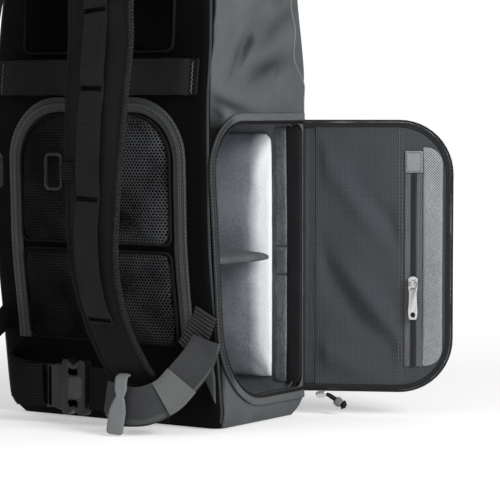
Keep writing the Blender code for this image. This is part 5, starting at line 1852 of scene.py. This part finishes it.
def buckle(left, right):
    """Side release buckle, fastened: a socket with finger gaps, and the pronged half."""
    centre_z = (left.z + right.z) / 2
    y = (left.y + right.y) / 2
    span = right.x - left.x - SEAT * 3
    x = left.x + SEAT
    split = span * 0.42
    half = BUCKLE_WIDTH / 2
    depth = BUCKLE_THICK / 2

    def plate(name, outline, thick):
        rings = [[Vector((u, y + side * thick, centre_z + v)) for u, v in outline] for side in (1, -1)]
        return loft(name, "plastic", rings)

    # Pronged half: a bar for the webbing and two shoulders that curve into the socket
    outline = mirrored([(0.0, -0.80), (0.10, -0.88), (0.55, -0.86), (0.80, -0.94), (1.0, -0.86)])
    made = plate("buckle_male", [(x + a * (split - GAP / 2), b * half * 0.88) for a, b in outline],
                 depth * 0.82)
    slot_form = [(x + a * split, b * half * 0.70) for a, b in mirrored([(0.20, -1.0), (0.36, -1.0)])]
    boolean(made, plate("buckle_slot_form", slot_form, depth * 2))
    rounded(made, 0.0012, 3)
    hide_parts("buckle_prongs")
    # Socket: waisted where the fingers press, with a window over each arm
    start = x + split + GAP / 2
    long = span - split - GAP / 2
    outline = mirrored([(0.0, -0.86), (0.06, -0.98), (0.22, -1.0), (0.34, -0.90), (0.50, -0.80),
                        (0.66, -0.90), (0.78, -1.0), (0.94, -0.96), (1.0, -0.82)])
    made = plate("buckle_female", [(start + a * long, b * half) for a, b in outline], depth)
    for sign in (1, -1):
        window = [(0.24, 0.50), (0.36, 0.44), (0.62, 0.44), (0.72, 0.52), (0.68, 0.70), (0.50, 0.64),
                  (0.32, 0.70)]
        window = [(start + a * long, sign * b * half) for a, b in window]
        boolean(made, plate("buckle_window_form", window if sign > 0 else list(reversed(window)),
                            depth * 2))
    rounded(made, 0.0011, 3)
    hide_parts("buckle_socket")
    raised = mirrored([(0.30, -0.34), (0.42, -0.40), (0.78, -0.40), (0.88, -0.30)])
    rings = [[Vector((start + a * long, y - depth - 0.0006 * k + 0.0003,
                      centre_z + b * half * (1 - 0.06 * k))) for a, b in raised]
             for k in (0, 1)]
    made = loft("buckle_face", "grey_plastic", rings)
    rounded(made, 0.0003, 2)


# Front, top and handle, which the photo doesn't show
def front_panel():
    def thinner(p):
        face = body_front(p.z) + FRONT_SEAT
        return Vector((p.x * 0.99, face + (p.y - face) * 0.82, p.z))
    made = stuffed("front_cushion", "front_panel", "shell", thinner, 0.0035,
                   lambda p: p.y < body_front(p.z) + FRONT_SEAT + 0.002, voxel=0.0055, pressure=3.0)
    half = HALF_WIDTH * 0.86
    edge = even_steps(rounded_outline((-half + 0.002, HEIGHT * 0.06 + 0.002),
                                      (half - 0.002, HEIGHT * 0.80 - 0.002), even_corners(half * 0.29),
                                      10), 0.006)
    path = [on_front(u, v, 0.0026) for u, v in edge]
    section = round_section(0.0014, 5)
    ribbon("front_piping", "dark_tape", path, Vector((0, 1, 0)), section, closed=True,
           uneven=0.00015)


def grab_handle():
    """Webbing handle that arches over the top."""
    rows = [(-0.62, 0.0), (-0.56, 0.5), (-0.40, 0.92), (0.0, 1.0), (0.40, 0.92), (0.56, 0.5),
            (0.62, 0.0)]
    rise = HEIGHT * 0.055
    width = HALF_WIDTH * 0.8
    path = [Vector((x * width, 0, HEIGHT + SEAT + STACK_THICK / 4 + z * rise)) for x,
            z in smooth_rows(rows, 14)]
    made = ribbon("carry_handle", "web", path, Vector((0, 1, 0)),
                  web_section(RIB_WIDTH, STACK_THICK / 2, 0.0, 14, 0.4), uneven=0.0003)
    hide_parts("grab_handle")


# Camera, floor and light
# Strength of the world as a light, and of the floor's own glow near the pack and far off
SKY = 0.36
FLOOR_GLOW = 0.34
FAR_GLOW = 0.42
FLOOR_HALF = 6
FLOOR_LOW = -0.0005
LIT_MIDDLE = Vector((0.0, 0.0, 0.2))
# Columns: name, place, side of the square light, power
LIGHTS = [
    ("key", (2.2, -0.5, 1.2), 1.1, 46.0),
    ("fill", (-0.7, -2.1, 1.3), 1.2, 12.0),
]


def area_light(name, place, size, power):
    light = bpy.data.lights.new(name, "AREA")
    light.shape = "RECTANGLE"
    light.size = light.size_y = size
    light.energy = power
    made = bpy.data.objects.new(name, light)
    bpy.context.scene.collection.objects.link(made)
    made.location = place
    made.rotation_euler = (Vector(place) - LIT_MIDDLE).to_track_quat("Z", "Y").to_euler()


def studio():
    scene = bpy.context.scene
    back = Vector((sin(VIEW_TURN) * cos(VIEW_RISE), -cos(VIEW_TURN) * cos(VIEW_RISE), sin(VIEW_RISE)))
    camera = bpy.data.objects.new("camera", bpy.data.cameras.new("camera"))
    camera.data.lens = VIEW_LENS
    camera.data.sensor_width = 36
    camera.location = VIEW_TARGET + back * VIEW_DISTANCE
    camera.rotation_euler = back.to_track_quat("Z", "Y").to_euler()
    scene.collection.objects.link(camera)
    scene.camera = camera

    floor = bpy.data.meshes.new("floor")
    corners = [(x * FLOOR_HALF, y * FLOOR_HALF, FLOOR_LOW) for x,
               y in ((-1, -1), (1, -1), (1, 1), (-1, 1))]
    floor.from_pydata(corners, [], [(0, 1, 2, 3)])
    floor = bpy.data.objects.new("floor", floor)
    scene.collection.objects.link(floor)
    pale = Shader("pale_floor", 0.9, specular=0.0)
    pale.bsdf.inputs["Emission Color"].default_value = (1.0, 1.0, 1.0, 1.0)
    x, y, z = pale.split(pale.coordinates.outputs["Object"])
    away = pale.math("SQRT", pale.math("ADD", pale.times(x, x), pale.times(y, y)))
    glow = pale.scaled(pale.ramp(away, 0.45, 2.0), FAR_GLOW, FLOOR_GLOW)
    pale.feed(pale.bsdf.inputs["Emission Strength"], glow)
    floor.data.materials.append(pale.done(pale.mix(pale.noise(3.0), (0.90, 0.90, 0.90),
                                                   (0.92, 0.92, 0.92))))

    world = bpy.data.worlds.new("studio")
    world.use_nodes = True
    tree = world.node_tree
    tree.nodes["Background"].inputs["Color"].default_value = (1.0, 1.0, 1.0, 1.0)
    seen = tree.nodes.new("ShaderNodeLightPath")
    level = tree.nodes.new("ShaderNodeMapRange")
    level.inputs[3].default_value = SKY
    level.inputs[4].default_value = 1.0
    tree.links.new(seen.outputs["Is Camera Ray"], level.inputs[0])
    tree.links.new(level.outputs[0], tree.nodes["Background"].inputs["Strength"])
    scene.world = world
    scene.view_settings.view_transform = "Standard"
    for row in LIGHTS:
        area_light(*row)


for build in (padded_insert, compartment, body_shell, opening_trim, corner_welts, door, main_zip_pull,
              rear_panel, shoulder_straps, hip_belt, front_panel, grab_handle, studio):
    build()
